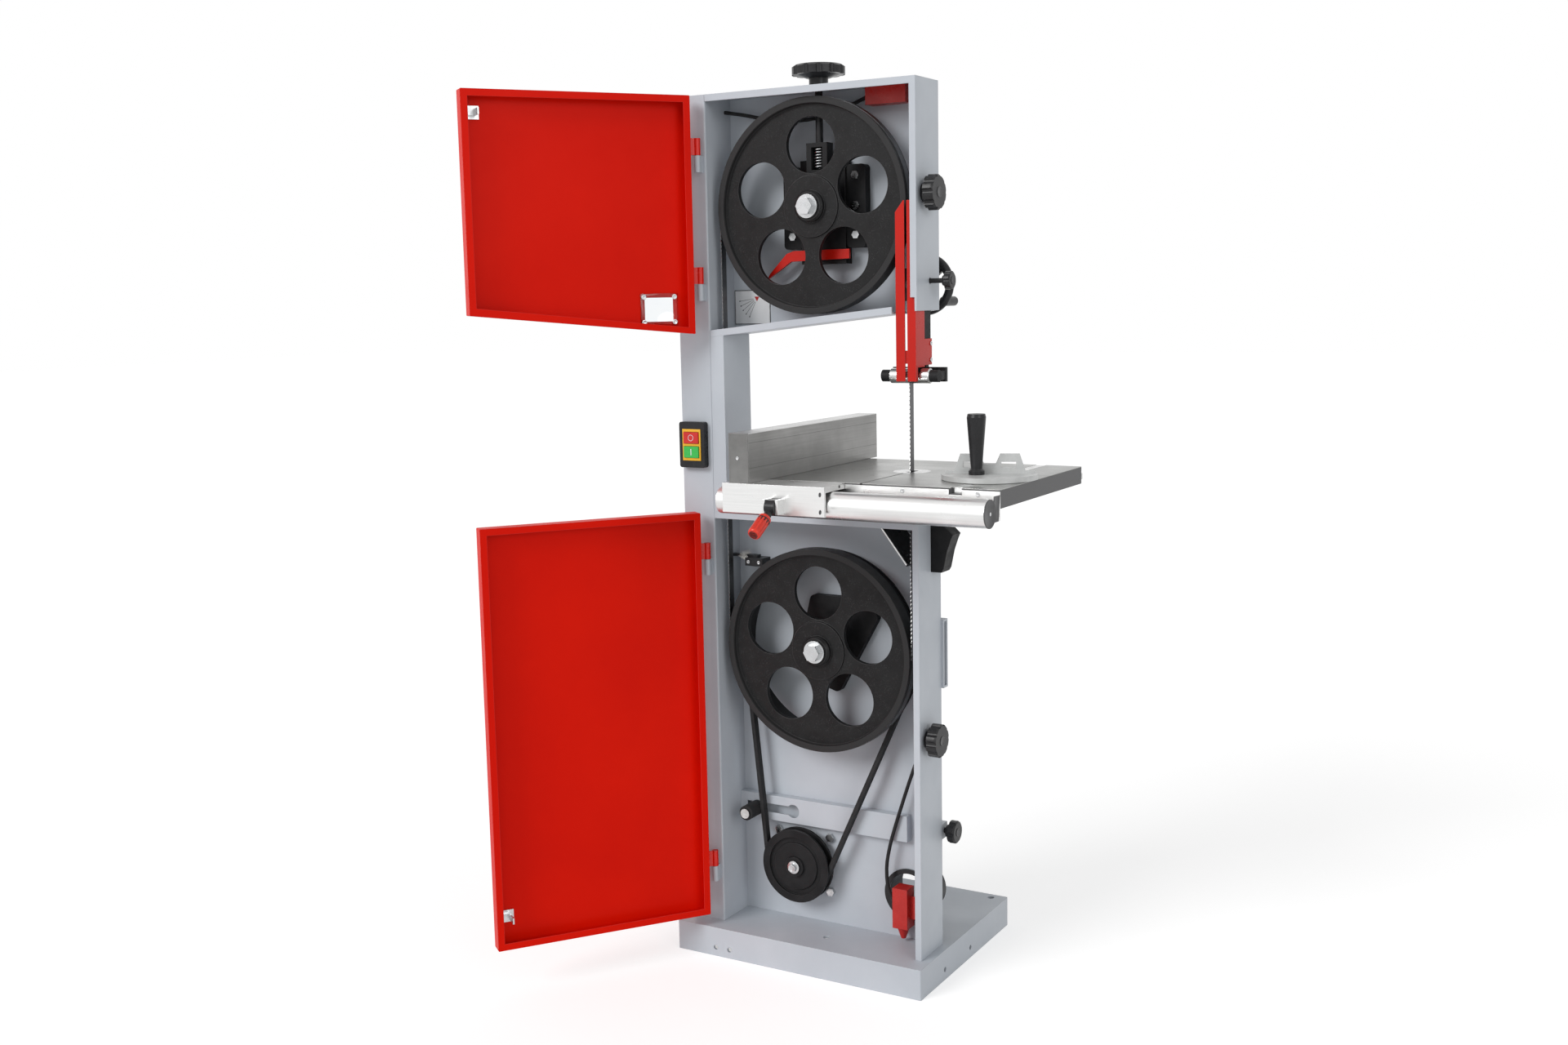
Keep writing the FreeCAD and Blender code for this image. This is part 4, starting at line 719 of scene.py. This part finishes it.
# small screws on the rail's strip, the guard's cheek and the brush: the node that each is placed on, the
# corner and the steps from it in millimetres, then the way that it faces, its size and its body
stripScrew = ("Y", -1, 0.0042, 0.0007, "table")
cheekScrew = ("X", 1, 0.004, 0.0018, "guide_post")
brushScrew = ("Y", -1, 0.0036, 0.0016, "frame")
smallScrews = {
    "stripScrewNear": ("table_rails", "hlh", (-179, 67.26, -6), stripScrew),
    "stripScrewFar": ("table_rails", "hlh", (-39, 67.26, -6), stripScrew),
    "cheekScrewHigh": ("blade_guard", "hhl", (0, -5, 67), cheekScrew),
    "cheekScrewLow": ("blade_guard", "hhl", (0, -5, 37), cheekScrew),
    "brushScrewLeft": ("chip_guards", "lll", (45, 38, 8), brushScrew),
    "brushScrewRight": ("chip_guards", "lll", (69, 38, 8), brushScrew),
}
for name, (node, corner, steps, (axis, out, radius, height, body)) in smallScrews.items():
    screw = buttonScrew(name, fromCorner(node, corner, *steps), axis, out, radius, height)
    finishPiece(screw, "zinc", body)
print("small screws made")


# dark discs of painted shade where the end of the fence's carrier has hollow cells: their place back and up
# from its lowest corner in millimetres, and their radius
cellShade = {"depth": 0.0008, "rim": 0.2, "sink": 0.0002,
         "places": ((9.3, 41, 0.004), (9.3, 11, 0.004), (79.3, 47.5, 0.0026))}
for count, (back, up, radius) in enumerate(cellShade["places"]):
    centre = fromCorner("fence_carrier", "hll", 0, back, up)
    shadeDisc = startRound("carrierCellShade" + str(count), centre, radius, cellShade["depth"], "X", 28)
    sinkFaces(shadeDisc, lambda at, normal: normal.x > 0.9, radius * cellShade["rim"], cellShade["sink"])
    finishPiece(shadeDisc, "darkCap", "fence")
print("carrier cells made")


# the plate that reads the blade's width, with generic lines only
# its places are in millimetres from the back panel's lowest corner
scalePlate = {"low": (1.5, -0.8, 18.8), "high": (83, -0.2, 85.8), "border": 0.0016, "face": 0.0003,
              "from": (53, 0, 69.8), "lineStart": 0.008, "lineLength": 0.04, "lineWidth": 0.0007,
              "angles": (188, 202, 216, 230, 244), "dotRadius": 0.0013, "arrow": 0.0062}


def makeScalePlate():
    low, high, fan = [fromCorner("upper_back_panel", "lll", *scalePlate[key])
                      for key in ("low", "high", "from")]
    back = startBox("scaleBorder", low, high)
    softEdges(back, 0.00015)
    finishPiece(back, "darkCap", "frame")
    edge = scalePlate["border"]
    face = startBox("scaleFace", (low[0] + edge, low[1] - scalePlate["face"], low[2] + edge),
                    (high[0] - edge, low[1] + 0.0001, high[2] - edge))
    softEdges(face, 0.0001)
    finishPiece(face, "labelWhite", "frame")
    front = low[1] - 0.0004
    marks = []
    for angle in scalePlate["angles"]:
        turn = math.radians(angle)
        start, end = [(fan.x + reach * math.cos(turn), front, fan.z + reach * math.sin(turn))
                      for reach in (scalePlate["lineStart"], scalePlate["lineLength"])]
        marks.append(placeBar("scaleLine", start, end, scalePlate["lineWidth"], 0.0003))
        dot = startRound("scaleDot", end, scalePlate["dotRadius"], 0.0004, "Y", 20)
        softEdges(dot, 0.0001)
        marks.append(dot)
    finishPiece(joinPieces(marks, "scaleLines"), "darkCap", "frame")
    arrow = startRound("scaleArrow", (fan.x, front, fan.z), scalePlate["arrow"], 0.0005, "Y", 3)
    softEdges(arrow, 0.0001)
    finishPiece(arrow, "redPlastic", "frame")


makeScalePlate()
print("scale plate made")


# the bolt and washer on the end of the motor's shaft
shaftBolt = {"radius": 0.009, "height": 0.007, "washerRadius": 0.013, "washerHeight": 0.0016}


def makeShaftBolt():
    centre = joints["motor_pulley_spin"]["pos_m"]
    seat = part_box("motor_pulley")[0][1]
    washer = startRound("pulleyWasher", (centre[0], seat - shaftBolt["washerHeight"] / 2, centre[2]),
                        shaftBolt["washerRadius"], shaftBolt["washerHeight"], "Y", 40)
    softEdges(washer, 0.0003)
    finishPiece(washer, "zinc", "motor_pulley")
    seat -= shaftBolt["washerHeight"]
    bolt = startRound("pulleyBolt", (centre[0], seat - shaftBolt["height"] / 2, centre[2]),
                      shaftBolt["radius"], shaftBolt["height"], "Y", 6)
    sinkFaces(bolt, lambda at, normal: normal.y < -0.9, 0.0028, 0.0004)
    softEdges(bolt, 0.0007)
    finishPiece(bolt, "zinc", "motor_pulley")


makeShaftBolt()
print("shaft bolt made")


# bristles of the wheel brush, in two tufts: one touches the tyre and one fans out above. Places are in
# millimetres from the lowest corner of the guards
tufts = {"touching": {"across": 74, "up": 1.5, "lean": -47, "length": 0.0085, "step": -3.2, "spread": 5},
         "fanned": {"across": 40, "up": 10.5, "lean": 142, "length": 0.022, "step": 1.2, "spread": 15}}
hairs = {"rows": 3, "inRow": 9, "radius": 0.0009, "tip": 0.35, "front": 40, "pitch": 3.4}


def makeBristles():
    for label, tuft in tufts.items():
        made = []
        for row in range(hairs["rows"]):
            lean = math.radians(90 - tuft["lean"] + (row - 1) * tuft["spread"])
            for place in range(hairs["inRow"]):
                hair = startRound("hair", (0, 0, tuft["length"] / 2), hairs["radius"], tuft["length"], "Z", 6)
                pickFaces(hair, lambda at, normal: normal.z > 0.9)
                bpy.ops.transform.resize(value=(hairs["tip"], hairs["tip"], 1))
                bpy.ops.object.mode_set(mode="OBJECT")
                root = fromCorner("chip_guards", "lll", tuft["across"] + tuft["step"] * row,
                                  hairs["front"] + place * hairs["pitch"], tuft["up"])
                hair.data.transform(Matrix.Translation(root) @ Matrix.Rotation(lean, 4, "Y"))
                made.append(hair)
        finishPiece(joinPieces(made, label + "Bristles"), "bristle", "frame")


makeBristles()
print("bristles made")


# the bright edge of the deflector plate: its ends are in millimetres from a corner of the guards
stripe = {"ends": ((-61, -0.2, -1), (-2, -0.2, -78)), "width": 0.0032, "depth": 0.0008}
top, bottom = [fromCorner("chip_guards", "hlh", *steps) for steps in stripe["ends"]]
finishPiece(placeBar("deflectorStripe", top, bottom, stripe["width"], stripe["depth"]),
            "brightSteel", "frame")
print("deflector stripe made")


# the spring round the tension screw
spring = {"radius": 0.0095, "wire": 0.0013, "drop": 0.0475, "turns": 7, "pitch": 0.0053}


def makeSpring():
    clearAll()
    bpy.ops.mesh.primitive_circle_add(vertices=10, radius=spring["wire"], rotation=(math.pi / 2, 0, 0),
                                      location=(spring["radius"], 0, 0))
    coil = settle(bpy.context.object)
    coil.name = "tensionSpring"
    wind = coil.modifiers.new("wind", "SCREW")
    wind.axis = "Z"
    wind.angle = 2 * math.pi
    wind.screw_offset = spring["pitch"]
    wind.iterations = spring["turns"]
    wind.steps = wind.render_steps = 24
    bpy.ops.object.modifier_apply(modifier="wind")
    bpy.ops.object.mode_set(mode="EDIT")
    bpy.ops.mesh.select_all(action="SELECT")
    bpy.ops.mesh.remove_doubles(threshold=0.00001)
    bpy.ops.mesh.fill_holes(sides=0)
    bpy.ops.mesh.normals_make_consistent(inside=False)
    bpy.ops.object.mode_set(mode="OBJECT")
    centre = joints["tension_handwheel_turn"]["pos_m"]
    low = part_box("wheel_carriage")[1].z - spring["drop"]
    coil.data.transform(Matrix.Translation((centre[0], centre[1], low)))
    finishPiece(coil, "zinc", "wheel_carriage")


makeSpring()
print("tension spring made")


# the blade's teeth on its two straight runs, points down on the cutting side and up on the other
teeth = {"pitch": 0.008, "reach": 0.0024, "thick": 0.0008, "back": 0.0004}


def makeTeeth():
    bladeLow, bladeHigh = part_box("saw_blade")
    bottom, top = joints["lower_wheel_spin"]["pos_m"][2], joints["upper_wheel_spin"]["pos_m"][2]
    runs = {"Cutting": (bladeHigh[0] - teeth["thick"], 1), "Returning": (bladeLow[0], -1)}
    for label, (left, way) in runs.items():
        tooth = startBox("teeth" + label, (left, bladeLow[1] - teeth["reach"], 0),
                         (left + teeth["thick"], bladeLow[1] + teeth["back"], teeth["pitch"] * 0.96))
        # the slope from the tip back to the gullet
        tip = teeth["pitch"] * (0.2 if way > 0 else 0.76)
        activate(tooth)
        bpy.ops.object.mode_set(mode="EDIT")
        bpy.ops.mesh.select_all(action="SELECT")
        bpy.ops.mesh.bisect(plane_co=(left, bladeLow[1] - teeth["reach"], tip),
                            plane_no=(0, -0.87, 0.49 * way), use_fill=True, clear_outer=True)
        bpy.ops.object.mode_set(mode="OBJECT")
        row = tooth.modifiers.new("row", "ARRAY")
        row.use_relative_offset = False
        row.use_constant_offset = True
        row.constant_offset_displace = (0, 0, teeth["pitch"])
        row.count = int((top - bottom) / teeth["pitch"])
        activate(tooth)
        bpy.ops.object.modifier_apply(modifier="row")
        tooth.data.transform(Matrix.Translation((0, 0, bottom)))
        finishPiece(tooth, "brightSteel", "frame")


makeTeeth()
print("blade teeth made")


# cooling ribs round the motor's shell
ribs = {"count": 28, "inner": 0.0655, "outer": 0.0738, "front": 0.016, "back": 0.043, "thick": 0.0022}


def makeRibs():
    centre = joints["motor_pulley_spin"]["pos_m"]
    low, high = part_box("motor")
    first = startBox("motorRib", (-ribs["thick"] / 2, low.y + ribs["front"], ribs["inner"]),
                     (ribs["thick"] / 2, high.y - ribs["back"], ribs["outer"]))
    pickFaces(first, lambda at, normal: normal.z > 0.9)
    bpy.ops.transform.resize(value=(0.55, 0.98, 1))
    bpy.ops.object.mode_set(mode="OBJECT")
    softEdges(first, 0.0004)
    around = [copyPiece(first, "motorRibCopy", Matrix.Rotation(2 * math.pi * i / ribs["count"], 4, "Y"))
              for i in range(1, ribs["count"])]
    whole = joinPieces([first] + around, "motorRibs")
    whole.data.transform(Matrix.Translation((centre[0], 0, centre[2])))
    finishPiece(whole, "motorPaint", "frame")


makeRibs()
print("motor ribs made")


# round caps in the ends of the knobs and hand wheels
knobCaps = {
    "upperDoorKnobCap": ("upper_door_knob", "upper_door_knob_turn", "X", 0.0095),
    "lowerDoorKnobCap": ("lower_door_knob", "lower_door_knob_turn", "X", 0.0095),
    "postLockCap": ("post_lock_knob", "post_lock_turn", "X", 0.007),
    "tensionerCap": ("tensioner_knob", "tensioner_knob_turn", "X", 0.008),
    "guideHandwheelCap": ("guide_handwheel", "guide_handwheel_turn", "Y", 0.0105),
}


def makeKnobCaps():
    for name, (node, jointName, axis, radius) in knobCaps.items():
        low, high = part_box(node)
        centre = list(joints[jointName]["pos_m"])
        out = 1 if axis == "X" else -1
        centre["XYZ".index(axis)] = high[0] + 0.0003 if axis == "X" else low[1] - 0.0003
        cap = startRound(name, centre, radius, 0.0014, axis, 40)
        index = "XYZ".index(axis)
        sinkFaces(cap, lambda at, normal: normal[index] * out > 0.9, radius * 0.18, 0.0004)
        softEdges(cap, 0.0003)
        finishPiece(cap, "darkCap", node)


makeKnobCaps()
print("knob caps made")


print("all pieces made")
